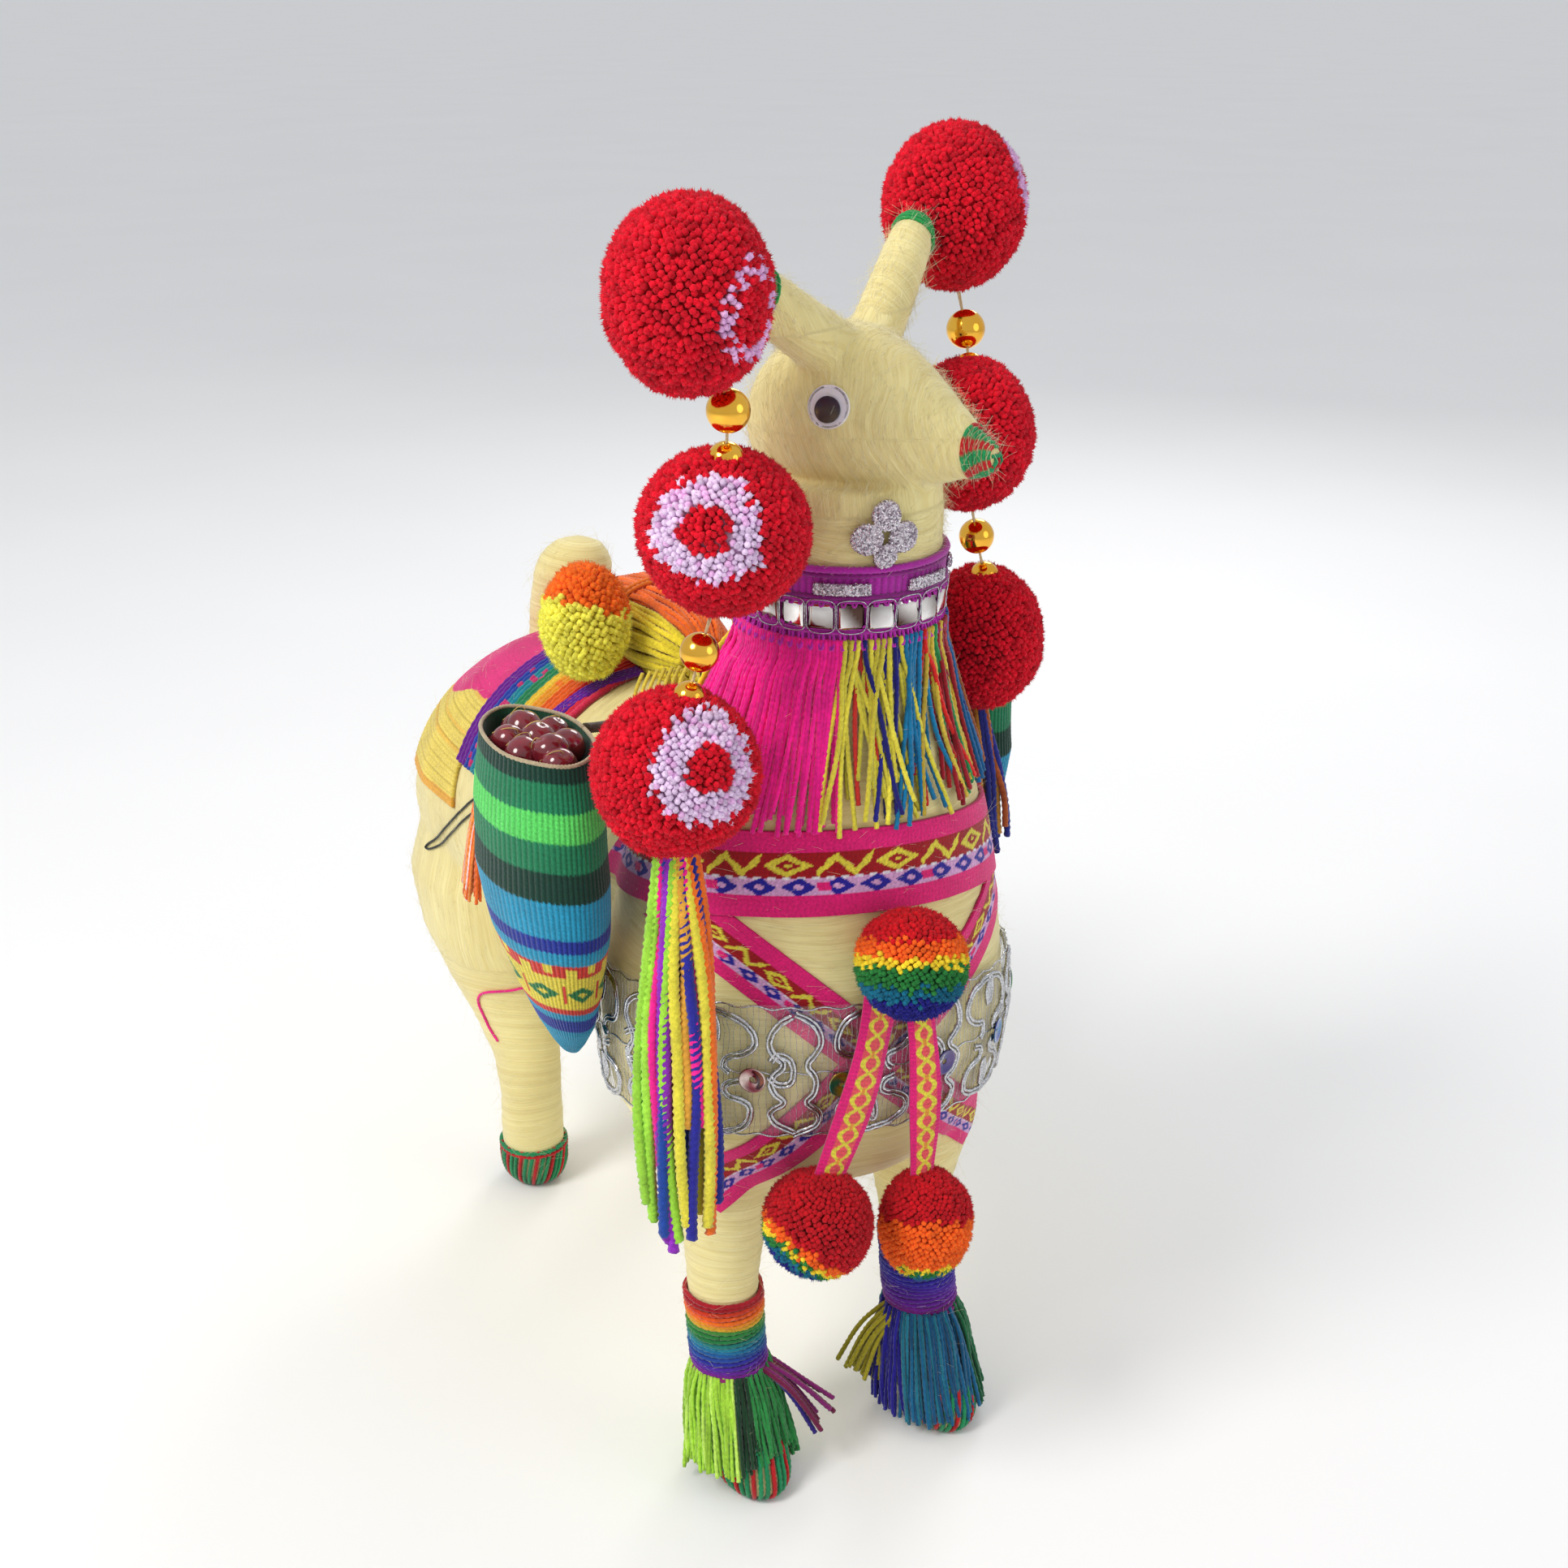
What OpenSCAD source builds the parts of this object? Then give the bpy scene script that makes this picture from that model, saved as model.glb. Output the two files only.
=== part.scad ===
// Wool-wrapped pack llama: a wire armature wound with wool, dressed with woven bands,
// lace, yarn fringe, pompons on beaded drops, and two striped saddle bags.
// Frame: millimetres, +Z up, the llama faces -Y, its own left side is +X, soles at z = 0.

/* [Wool body] */
// Extra thickness wound on the whole body
wool_extra = 0; // [-2:0.5:2]
// Radius of the neck under the collar
neck_r = 28; // [26:0.5:29]
// Height of the coloured wrap round each foot
hoof_h = 13; // [9:1:16]
// Radius of the ears at their root
ear_r = 8.6; // [6:0.2:9.4]

/* [Eyes and nose] */
// Diameter of each googly eye
eye_d = 12; // [10:0.5:12.5]
// Diameter of the loose pupil disc
pupil_d = 7.4; // [5:0.2:7.6]
// Length of the thread wound round the nose tip
nose_wrap_l = 10; // [6:1:12]

/* [Collar and fringe] */
// Lowest edge of the braided collar
collar_z0 = 298; // [296:1:300]
// Highest edge of the braided collar
collar_z1 = 321; // [316:1:322]
// Side of each little mirror square
mirror_s = 7.4; // [5:0.2:7.8]
// Number of mirror squares round the collar
mirror_n = 22; // [16:1:22]
// Height of the fringe's lower ends
fringe_z = 240; // [238:1:262]
// Thickness of the yarn fringe
fringe_t = 4.5; // [3:0.5:5]

/* [Bands and lace] */
// Width of the woven chest band
band_w = 27; // [16:1:28]
// Thickness of the woven bands
band_t = 1.6; // [1:0.2:1.8]
// Width of the crossing bands
cross_w = 17; // [12:1:18]
// Width of the silver lace
lace_w = 44; // [34:2:46]
// Thickness of the lace
lace_t = 1; // [0.6:0.2:1.2]

/* [Pompons, beads and tassels] */
// Width of the ear pompons
ear_pom_w = 43; // [38:1:44]
// Height of the ear pompons
ear_pom_h = 50; // [44:1:51]
// Diameter of the pompons on the drops
drop_pom_d = 46.5; // [40:0.5:47]
// Diameter of the upper gold beads
bead_d = 11.8; // [9:0.2:12]
// Diameter of the chest pompon
chest_pom_d = 33; // [28:1:34]
// Diameter of the pompons on the straps
strap_pom_d = 34; // [28:1:35]
// Width of the hanging straps
strap_w = 12.5; // [8:0.5:12.5]

/* [Saddle bags] */
// Width of each bag along the body
bag_w = 68; // [56:1:70]
// Thickness of each bag
bag_t = 37; // [33:1:38]
// Wall thickness of the bag cloth
bag_wall = 1.6; // [1.2:0.2:2]
// Diameter of the berries
berry_d = 11.2; // [10:0.2:11.4]

/* [Ankles] */
// Lowest edge of the ankle cuffs
cuff_z0 = 40; // [36:1:44]
// Highest edge of the ankle cuffs
cuff_z1 = 68; // [60:1:70]

/* [Hidden] */
$fn = 48;
// moves the body frame's origin to the middle of the footprint of the whole object
shift = [0, -15, 0];
head_c = [0, -88, 0];
head_turn = 30;
hd = [sin(head_turn), -cos(head_turn), 0];
hl = [cos(head_turn), sin(head_turn), 0];

// vertical rings [z, cx, cy, rx, ry]
chest_rings = [[111, 0, -62, 40, 36], [114, 0, -62, 49, 43], [121, 0, -61, 57, 50], [135, 0, -60, 66, 55], [160, 0, -60, 69, 58],
    [185, 0, -60, 66.5, 58], [205, 0, -62, 61, 56], [225, 0, -65, 56, 52], [245, 0, -69, 49, 46], [262, 0, -73, 42, 39],
    [277, 0, -77, 35.5, 34], [292, 0, -81, 30.5, 30]];
// rings along the back [y, cx, cz, rx, rz]
back_rings = [[-80, 0, 180, 44, 50], [-40, 0, 180, 57, 62], [0, 0, 180, 60, 63], [50, 0, 180, 62, 63], [90, 0, 178, 66, 64],
    [125, 0, 174, 69.5, 63], [148, 0, 169, 66.5, 59], [165, 0, 165, 56, 50], [176, 0, 162, 39, 35], [181, 0, 160, 18, 16]];
neck_rings = [[292.2, 0, -81, 30.5, 30], [298, 0, -82.5, 29, 28.5], [305, 0, -84, 28, 28], [314, 0, -85.5, 28, 28],
    [324, 0, -87, 27.5, 27.5], [334, 0, -88, 27, 27], [342, 0, -88, 26, 26]];
// right front leg, mirrored for the left [z, cx, cy, rx, ry]
front_rings = [[1.5, -38, -97, 8.5, 12.5], [4, -38, -96.5, 10.8, 14.8], [9, -38.5, -94.5, 11.8, 15], [16, -39, -91.5, 12, 14], [26, -40, -87, 11.8, 12.2],
    [46, -40, -81, 11.5, 11.5], [70, -40, -78, 12, 12], [90, -39, -77, 14, 14], [104, -38, -75, 18, 18], [118, -36, -72, 24, 24], [142, -30, -70, 27, 28]];
// right rear leg [z, cx, cy, rx, ry]
rear_rings = [[1.5, -36, 114, 9, 10], [4, -36, 114, 11.5, 12.5], [10, -36.5, 113.5, 12.8, 13.5], [26, -37, 112, 13, 13], [45, -38, 109, 12.6, 12.8],
    [62, -38.5, 110, 13.6, 15], [78, -40, 117, 16.5, 19.5], [95, -42, 127, 21, 27], [114, -42, 133, 27.5, 36], [138, -39, 135, 33.5, 42], [165, -32, 130, 34, 42]];
tail_rings = [[215, 0, 150, 12, 12], [228, 0, 148, 14, 14], [240, 0, 143, 15, 15], [250, 0, 138, 15.5, 15.5], [258, 0, 134, 15.5, 15],
    [264, 0, 132, 13.5, 13], [268, 0, 131, 10, 9.5], [270, 0, 130.5, 5.5, 5], [270.8, 0, 130.5, 2, 2]];
// head sections along its own direction [distance, centre height, half width, half height]
head_rings = [[-29.5, 357, 6, 6], [-27.5, 357, 13, 12], [-23, 357.5, 19.5, 18], [-15, 359, 25, 23], [-5, 360.5, 27, 24.5], [5, 360.5, 25.5, 24],
    [14, 359, 21.5, 21], [23, 357, 17, 16.6], [32, 354.6, 11.4, 11.4], [39, 352.8, 7.4, 7.4], [44, 351.6, 4.8, 5], [46.5, 351, 2.8, 3]];

function out(p, s, z) = [p[0] + hl[0] * s, p[1] + hl[1] * s, z];
ear_base_r = [-9, -93, 378];
ear_tip_r = [-47, -111, 402];
ear_base_l = [9.5, -82.5, 378];
ear_tip_l = [38, -60, 409];
ear_pom_r = [-66, -120, 401];
ear_pom_l = [56, -50, 410];
drop_r = [[-57, -121, 378], [-55, -120, 370.8], [-54.2, -116, 360], [-53.5, -113, 336.7], [-57, -112, 313.5], [-60.6, -112, 303.5], [-64, -111.5, 293], [-68.3, -111.3, 269.5], [-68.5, -111.3, 246]];
drop_l = [[53.5, -58, 385.5], [52, -65, 375.5], [50.2, -70, 368], [48, -74, 345.5], [53, -70, 322.5], [57, -67.5, 311], [58.6, -66.8, 300.5], [61, -66, 277], [61, -66, 253.5]];
eye_n_r = [-0.72, -0.65, 0.22];
eye_n_l = [0.923, 0.2985, 0.22];
eye_r = [-16.6, -104.6, 365.3];
eye_l = [25.6, -80.3, 365.3];
bag_floor_z = 245.2;
strap_top_r = [-6.9, -123.5, 188];
strap_top_l = [5.4, -123.5, 188];
strap_end_r = [-30, -126, 118];
strap_end_l = [8, -127.5, 107];
bag_c_r = [-86, -50];
bag_c_l = [86, -6];
bag_rings = [[155, 6, 0.16], [159, 5.6, 0.28], [166, 5, 0.44], [180, 3, 0.66], [200, 0.8, 0.88], [221, -0.6, 1], [241, -0.6, 0.95], [263, 0, 0.85]];

// ---- helpers ----
module flat_ring(c, a, b, rot = [0, 0, 0], n = 32) translate(c) rotate(rot) scale([max(a, 0.5), max(b, 0.5), 1]) cylinder(r = 1, h = 0.2, center = true, $fn = n);
module column(s, g = 0, n = 32) {
    for (i = [0:len(s) - 2]) hull() {
        flat_ring([s[i][1], s[i][2], s[i][0]], s[i][3] + g, s[i][4] + g, n = n);
        flat_ring([s[i + 1][1], s[i + 1][2], s[i + 1][0]], s[i + 1][3] + g, s[i + 1][4] + g, n = n);
    }
}
module beam(s, g = 0, n = 32) {
    for (i = [0:len(s) - 2]) hull() {
        flat_ring([s[i][1], s[i][0], s[i][2]], s[i][3] + g, s[i][4] + g, [90, 0, 0], n);
        flat_ring([s[i + 1][1], s[i + 1][0], s[i + 1][2]], s[i + 1][3] + g, s[i + 1][4] + g, [90, 0, 0], n);
    }
}
module chest_form(g = 0) column(chest_rings, g + wool_extra, 36);
module back_form(g = 0) beam(back_rings, g + wool_extra, 36);
module neck_form(g = 0) column([for (r = neck_rings) [r[0], r[1], r[2], r[3] + neck_r - 28, r[4] + neck_r - 28]], g + wool_extra / 2, 36);
module head_form(g = 0) {
    for (i = [0:len(head_rings) - 2]) hull() for (k = [i, i + 1]) {
        r = head_rings[k];
        flat_ring([head_c[0] + hd[0] * r[0], head_c[1] + hd[1] * r[0], r[1]], r[2] + g, r[3] + g, [90, 0, head_turn], 28);
    }
}
function lean(z) = z > 100 ? 2 : z > 30 ? 5 : z > 12 ? 4 : 2.5;
function front_of(side) = [for (r = front_rings) [r[0], side < 0 ? r[1] : -r[1] - lean(r[0]), r[2], r[3], r[4]]];
function rear_of(side) = [for (r = rear_rings) [r[0], -side * r[1], r[2], r[3], r[4]]];
module front_leg_form(side, g = 0) column(front_of(side), g, 24);
module rear_leg_form(side, g = 0) column(rear_of(side), g, 24);
module trunk(g = 0) { chest_form(g); back_form(g); }
module front_skin(g = 0) { chest_form(g); back_form(g); front_leg_form(-1, g); front_leg_form(1, g); }
// a straight rod between two points
module rod(a, b, r, r2 = undef) {
    d = b - a;
    l = norm(d);
    translate(a) rotate([0, acos(d[2] / l), atan2(d[1], d[0])]) cylinder(r1 = r, r2 = r2 == undef ? r : r2, h = l);
}
module facing(p, n) translate(p) rotate([0, acos(n[2] / norm(n)), atan2(n[1], n[0])]) children();
// a flattened ball of yarn whose short axis points along n
module pompon(c, d, n = [0, 0, 1], flat = 1) facing(c, n) rotate_extrude($fn = 48)
    intersection() { scale([1, flat]) circle(d = d); translate([0, -d]) square([d, 2 * d]); }
module tapered(path) for (i = [0:len(path) - 2]) hull() for (k = [i, i + 1]) translate(path[k][0]) sphere(r = path[k][1], $fn = 14);

// ---- wool and wire ----
module wire(path, r = 1.2) for (i = [0:len(path) - 2]) hull() for (k = [i, i + 1]) translate(path[k]) sphere(r = r, $fn = 8);
module wire_armature() color([0.55, 0.55, 0.58]) {
    wire([[0, 148, 228], [0, 128, 180], [0, -62, 175], [0, -84, 296], [0, -88, 352], head_c + hd * 38 + [0, 0, 352]]);
    wire([[ear_base_r[0], ear_base_r[1], 376], [0, -88, 352], [ear_base_l[0], ear_base_l[1], 376]]);
    for (s = [-1, 1]) {
        wire([[0, -62, 175], [s < 0 ? -38 : 34, -76, 100], [s < 0 ? -39.5 : 35.5, -86, 26], [s < 0 ? -38 : 36.5, -95, 6]]);
        wire([[0, 128, 180], [s * 39, 112, 66], [s * 36.5, 113, 6]]);
    }
}
module torso_wrap() color([0.93, 0.87, 0.62]) { chest_form(); back_form(); }
module neck_wrap() color([0.93, 0.87, 0.62]) neck_form();
module eye_pockets() { facing(eye_r, eye_n_r) cylinder(d = eye_d + 0.3, h = 12, $fn = 40); facing(eye_l, eye_n_l) cylinder(d = eye_d + 0.3, h = 12, $fn = 40); }
module head_wrap() color([0.95, 0.89, 0.66]) difference() { head_form(); eye_pockets(); translate([0, 0, 0.013]) neck_form(0.011); }
module ear_form(a, b) {
    n = 9;
    for (i = [0:n - 1]) hull() for (k = [i, i + 1]) {
        t = k / n;
        facing(a + (b - a) * t, b - a) scale([1, 0.82, 1]) cylinder(r = ear_r * (1.08 - 0.2 * t) * sqrt(max(0.02, 1 - pow(max(0, (t - 0.72) / 0.3), 2))), h = 0.2, center = true, $fn = 20);
    }
}
module ear_right() color([0.95, 0.89, 0.66]) difference() { ear_form(ear_base_r, ear_tip_r); head_form(); ear_pom_ball(ear_pom_r); }
module ear_left() color([0.95, 0.89, 0.66]) difference() { ear_form(ear_base_l, ear_tip_l); head_form(); ear_pom_ball(ear_pom_l); }
module ear_pom_ball(c) translate(c) scale([ear_pom_w / 2, ear_pom_w / 2, ear_pom_h / 2]) sphere(r = 1, $fn = 48);
module ear_threads() color([0.1, 0.5, 0.25]) {
    facing(ear_base_r + (ear_tip_r - ear_base_r) * 0.7, ear_tip_r - ear_base_r) ring_thread(ear_r * 0.94);
    facing(ear_base_l + (ear_tip_l - ear_base_l) * 0.7, ear_tip_l - ear_base_l) ring_thread(ear_r * 0.94);
}
module ring_thread(r) rotate_extrude() translate([r + 0.45, 0]) circle(r = 0.45);
module front_leg_right() color([0.93, 0.87, 0.62]) difference() { front_leg_form(-1); trunk(); }
module front_leg_left() color([0.93, 0.87, 0.62]) difference() { front_leg_form(1); trunk(); }
module rear_leg_right() color([0.93, 0.87, 0.62]) difference() { rear_leg_form(-1); back_form(); rear_split(); }
module rear_leg_left() color([0.93, 0.87, 0.62]) difference() { rear_leg_form(1); back_form(); rear_split(); }
module rear_split() translate([-0.1, 50, 0]) cube([0.2, 160, 300]);
module tail_wrap() color([0.93, 0.87, 0.62]) difference() { column(tail_rings, 0, 24); back_form(); }
module hoof_outer(r, g = 1.5) column(concat([[0.1, r[0][1], r[0][2], r[0][3] + g - 0.5, r[0][4] + g - 0.5]], [for (i = [0:4]) [r[i][0] + 0.4, r[i][1], r[i][2], r[i][3] + g, r[i][4] + g]]), 0, 24);
module hoof(r) difference() {
    intersection() { hoof_outer(r); z_slab(0, hoof_h); }
    column(r, 0, 24);
}
module hoof_wraps() color([0.1, 0.45, 0.3]) for (s = [-1, 1]) { hoof(front_of(s)); hoof(rear_of(s)); }
module nose_wrap() color([0.1, 0.5, 0.3]) difference() {
    intersection() {
        union() { head_form(0.9); facing(head_c + hd * 46.4 + [0, 0, 350], hd) cylinder(r1 = 4.1, r2 = 2.2, h = 1.3, $fn = 28); }
        translate(head_c + hd * 47 + [0, 0, 350]) rotate([0, 0, head_turn]) translate([-20, -3, -20]) cube([40, nose_wrap_l, 40]);
    }
    head_form();
}

// ---- googly eyes ----
module eye_cup(p, n) facing(p, n) cylinder(d = eye_d, h = 1.2);
module eye_dome(p, n) facing(p, n) translate([0, 0, 1.2]) rotate_extrude() difference() {
    dome2(eye_d / 2 - 0.2, 3.7);
    dome2(eye_d / 2 - 0.8, 3.05);
}
module dome2(r, h) intersection() { translate([0, h - (r * r + h * h) / (2 * h)]) circle(r = (r * r + h * h) / (2 * h), $fn = 96); square([r, h]); }
module pupil(p, n, down) facing(p, n) translate([down[0], down[1], 1.45]) cylinder(d = pupil_d, h = 0.5);
module eye_cup_right() color("white") eye_cup(eye_r, eye_n_r);
module eye_cup_left() color("white") eye_cup(eye_l, eye_n_l);
module eye_dome_right() color([0.9, 0.95, 1, 0.4]) eye_dome(eye_r, eye_n_r);
module eye_dome_left() color([0.9, 0.95, 1, 0.4]) eye_dome(eye_l, eye_n_l);
pupil_off = max(0.2, eye_d / 2 - 1.35 - pupil_d / 2);
module pupil_right() color([0.05, 0.05, 0.08]) pupil(eye_r, eye_n_r, [pupil_off * 0.8, 0]);
module pupil_left() color([0.05, 0.05, 0.08]) pupil(eye_l, eye_n_l, [pupil_off * 0.8, 0]);

// ---- collar ----
module z_slab(a, b) translate([-150, -200, a]) cube([300, 300, b - a]);
module collar_braid() color([0.6, 0.15, 0.6]) difference() { intersection() { neck_form(2); z_slab(collar_z0, collar_z1); } neck_form(); }
module collar_mirrors() color([0.75, 0.72, 0.68]) intersection() {
    difference() { neck_form(2.8); neck_form(2); }
    translate([0, -84.5, 0]) for (i = [0:mirror_n - 1]) rotate([0, 0, i * 360 / mirror_n]) translate([20, -mirror_s / 2, 302.9]) cube([20, mirror_s, mirror_s]);
}
module collar_glitter() color([0.75, 0.72, 0.75]) intersection() {
    difference() { neck_form(3); neck_form(2); }
    translate([0, -86, 0]) {
        for (a = [-232, -177, -122, -67, -12, 43]) rotate([0, 0, a]) translate([20, -8, 313.2]) cube([20, 16, 3.2]);
        rotate([0, 0, -99]) for (q = [[0, 333.2, 4.2], [-5.4, 326.6, 4.4], [5.4, 326.6, 4.4], [0, 321.4, 3.4]]) translate([20, q[0], q[1]]) rotate([0, 90, 0]) cylinder(r = q[2], h = 20, $fn = 24);
    }
}
module neck_fringe() color([0.95, 0.1, 0.55]) difference() {
    union() {
        intersection() { neck_form(3.4); z_slab(290, collar_z0); }
        intersection() { chest_form(fringe_t); z_slab(fringe_z, 292.1); }
    }
    neck_form();
    chest_form();
    back_form(2);
    intersection() { trunk(band_t + 0.05); band_slab(band_w + 0.1); }
}

// ---- bands, lace, sequins ----
module band_slab(w) intersection() {
    translate([0, 0, 207]) rotate([-10.4, 3.7, 0]) cube([400, 400, w], center = true);
    translate([-200, -200, 0]) cube([400, 190, 400]);
}
module chest_band() color([0.9, 0.2, 0.5]) difference() { intersection() { trunk(band_t); band_slab(band_w); } trunk(); }
// a straight band seen from the front, from [x, z] to [x, z]
module front_bar(a, b, w, y0 = -145, y1 = -62) {
    d = b - a;
    translate([a[0], y1, a[1]]) rotate([0, -atan2(d[1], d[0]), 0]) translate([0, y0 - y1, -w / 2]) cube([norm(d), y1 - y0, w]);
}
module cross_bars(w) {
    front_bar([-72, 228], [2, 160], w);
    front_bar([66, 216], [-14, 160], w);
    front_bar([-4, 168], [-64, 100], w);
    front_bar([-8, 168], [62, 100], w);
}
module cross_band() color([0.9, 0.2, 0.5]) difference() {
    intersection() { front_skin(band_t); cross_bars(cross_w); z_slab(103, 222); }
    front_skin();
    band_slab(band_w + 0.02);
}
module lace_slab(w, y1 = -14) intersection() {
    translate([0, 0, 152]) rotate([-5, 4.5, 0]) cube([400, 400, w], center = true);
    translate([-200, -200, 0]) cube([400, 200 + y1, 400]);
}
module silver_lace() color([0.8, 0.8, 0.82]) difference() {
    intersection() { trunk(band_t + lace_t); lace_slab(lace_w); }
    trunk(band_t);
    front_leg_form(-1, band_t + 0.1);
    front_leg_form(1, band_t + 0.1);
}
sequin_at = [[-58, -82, 165], [-40, -104, 163], [-17, -115, 160], [18, -115, 158], [43, -102, 156], [60, -78, 158]];
module lace_sequins() color([0.2, 0.2, 0.7]) intersection() {
    difference() { trunk(band_t + lace_t + 0.8); trunk(band_t + lace_t); }
    for (p = sequin_at) facing([0, -60, p[2]], [p[0], p[1] + 60, 0]) difference() { cylinder(d = 8.5, h = 90, $fn = 24); cylinder(d = 1.8, h = 90, $fn = 12); }
}

// ---- pompons and straps on the chest ----
chest_pom_c = [-4, -134.6, 205];
module chest_pompon() color([0.8, 0.3, 0.1]) pompon(chest_pom_c, chest_pom_d);
module strap(a, b, w) {
    // hangs straight down the front, then runs into its pompon
    d = b - a;
    dir = d / norm(d);
    e = b - dir * (strap_pom_d / 2 - 1.5);
    hull() { translate(a) cube([w, 1.4, 0.6], center = true); translate(e) cube([w * 0.86, 1.4, 0.6], center = true); }
}
module strap_right() color([0.92, 0.25, 0.5]) difference() { strap(strap_top_r, strap_end_r, strap_w); pompon(strap_end_r, strap_pom_d); }
module strap_left() color([0.92, 0.25, 0.5]) difference() { strap(strap_top_l, strap_end_l, strap_w * 0.8); pompon(strap_end_l, strap_pom_d * 0.87, [0, 0, 1], 1.28); }
module strap_pompon_right() color([0.6, 0.05, 0.1]) pompon(strap_end_r, strap_pom_d);
module strap_pompon_left() color([0.6, 0.05, 0.1]) pompon(strap_end_l, strap_pom_d * 0.87, [0, 0, 1], 1.28);

// ---- ankles ----
module cuff(side) difference() {
    intersection() { front_leg_form(side, 2.2); translate([side > 0 ? 10 : -70, -120, cuff_z0]) cube([60, 80, cuff_z1 - cuff_z0]); }
    front_leg_form(side);
}
module ankle_cuff_right() color([0.9, 0.3, 0.2]) cuff(-1);
module ankle_cuff_left() color([0.25, 0.15, 0.5]) cuff(1);
module ankle_tassel(side, spread) difference() {
    x = side < 0 ? -40 : 34.5;
    column([[cuff_z0 - 0.1, x, -83, 13.4, 13.4], [cuff_z0 - 3, x, -84, 15, 15], [cuff_z0 - 8, x, -85, 16, 16.4], [25, x, -86.5, 16.6 + spread, 17.2], [15, x, -88.5, 17.2 + spread, 18.4], [6, x, -90.5, 17.6 + spread, 19.2]], 0, 24);
    front_leg_form(side);
    hoof_outer(front_of(side), 1.7);
}
module ankle_tassel_right() color([0.5, 0.85, 0.1]) ankle_tassel(-1, 0);
module ankle_tassel_left() color([0.1, 0.4, 0.6]) ankle_tassel(1, 1);

// ---- saddle ----
module saddle_blanket() color([0.85, 0.35, 0.2]) difference() {
    intersection() { back_form(3); translate([-90, 42, 203]) cube([180, 54, 60]); }
    back_form();
}
module rump_cloth() color([0.85, 0.1, 0.45]) difference() {
    intersection() { back_form(2.4); translate([-90, 96, 180]) cube([180, 54, 80]); }
    back_form();
    column(tail_rings, 0, 24);
}
bundle = [[24, 250, 9], [30, 251, 13], [42, 252, 15.5], [56, 253, 16.5], [70, 253, 16.5], [84, 252, 15.5], [96, 250, 13], [102, 249, 9]];
module saddle_bundle() color([0.95, 0.65, 0.1]) difference() {
    for (i = [0:len(bundle) - 2]) hull() for (k = [i, i + 1]) flat_ring([4, bundle[k][0], bundle[k][1]], bundle[k][2] * 1.15, bundle[k][2], [90, 0, 0], 24);
    back_form(3);
    column(tail_rings, 0.3, 24);
}
saddle_pom = [-31, 46, 264];
module saddle_pompon() color([0.95, 0.8, 0.1]) pompon(saddle_pom, 31, [0, 0, 1], 1.35);
module side_tassel(side) difference() {
    mirror([side > 0 ? 1 : 0, 0, 0]) tapered([[[-64, 44, 212], 3], [[-66.5, 44.5, 206], 4], [[-68.5, 45, 200], 5], [[-70, 46, 193], 6.2], [[-71, 47, 187], 7], [[-71.5, 48, 181], 7.6], [[-72, 49, 175], 8], [[-72, 50, 171], 8], [[-72, 50.5, 167], 6]]);
    back_form(side < 0 ? 3 : 3);
}
module blanket_tassel_right() color([0.95, 0.4, 0.1]) side_tassel(-1);
module blanket_tassel_left() color([0.95, 0.4, 0.1]) side_tassel(1);

// ---- bags ----
module bag_form(c, side, g = 0, cut = 0) {
    for (i = [0:len(bag_rings) - 2]) hull() for (k = [i, i + 1]) {
        r = bag_rings[k];
        flat_ring([c[0] - side * r[1], c[1], r[0] + (k == len(bag_rings) - 1 ? cut : 0)], bag_t / 2 * r[2] + g, bag_w / 2 * r[2] + g, n = 32);
    }
}
module bag(c, side) difference() {
    bag_form(c, side);
    intersection() { bag_form(c, side, -bag_wall, 1); translate([c[0] - 50, c[1] - 50, bag_floor_z]) cube([100, 100, 60]); }
}
module bag_right() color([0.1, 0.5, 0.4]) bag(bag_c_r, -1);
module bag_left() color([0.1, 0.5, 0.4]) bag(bag_c_l, 1);
// two layers of berries inside the mouth
module berries(c) {
    p = berry_d + 0.2;
    z1 = bag_floor_z + 0.1 + berry_d / 2;
    z2 = z1 + berry_d * 0.72;
    for (j = [-1.5:1:1.5], i = [-0.5, 0.5]) translate([c[0] + i * p, c[1] + j * p, z1]) sphere(d = berry_d);
    for (j = [-1:1]) translate([c[0], c[1] + j * p, z2]) sphere(d = berry_d);
}
module berries_right() color([0.35, 0.05, 0.08]) berries(bag_c_r);
module berries_left() color([0.35, 0.05, 0.08]) berries(bag_c_l);
// cord from one bag's rim over the back to the other
bag_cord_pts = [[-70.4, -50, 262.5], [-62, -42, 259], [-50, -33, 255], [-36, -25, 251.5], [-20, -18, 249], [0, -13, 248], [18, -10, 248], [34, -8, 250], [48, -7, 253.5], [60, -6, 258], [70.4, -6, 262.5]];
module bag_cord() color([0.3, 0.25, 0.1]) difference() {
    for (i = [0:len(bag_cord_pts) - 2]) hull() for (k = [i, i + 1]) translate(bag_cord_pts[k]) sphere(d = 3.4, $fn = 12);
    bag_form(bag_c_r, -1, 0.4, 1.5);
    bag_form(bag_c_l, 1, 0.4, 1.5);
    trunk(0);
    chest_form(fringe_t);
}

// ---- ear pompons and drops ----
module ear_pompon_right() color([0.8, 0.03, 0.08]) ear_pom_oblate(ear_pom_r);
module ear_pompon_left() color([0.8, 0.03, 0.08]) ear_pom_oblate(ear_pom_l);
module ear_pom_oblate(c) translate(c) rotate_extrude($fn = 48) intersection() { scale([ear_pom_w / 2, ear_pom_h / 2]) circle(r = 1, $fn = 96); translate([0, -60]) square([60, 120]); }
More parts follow.
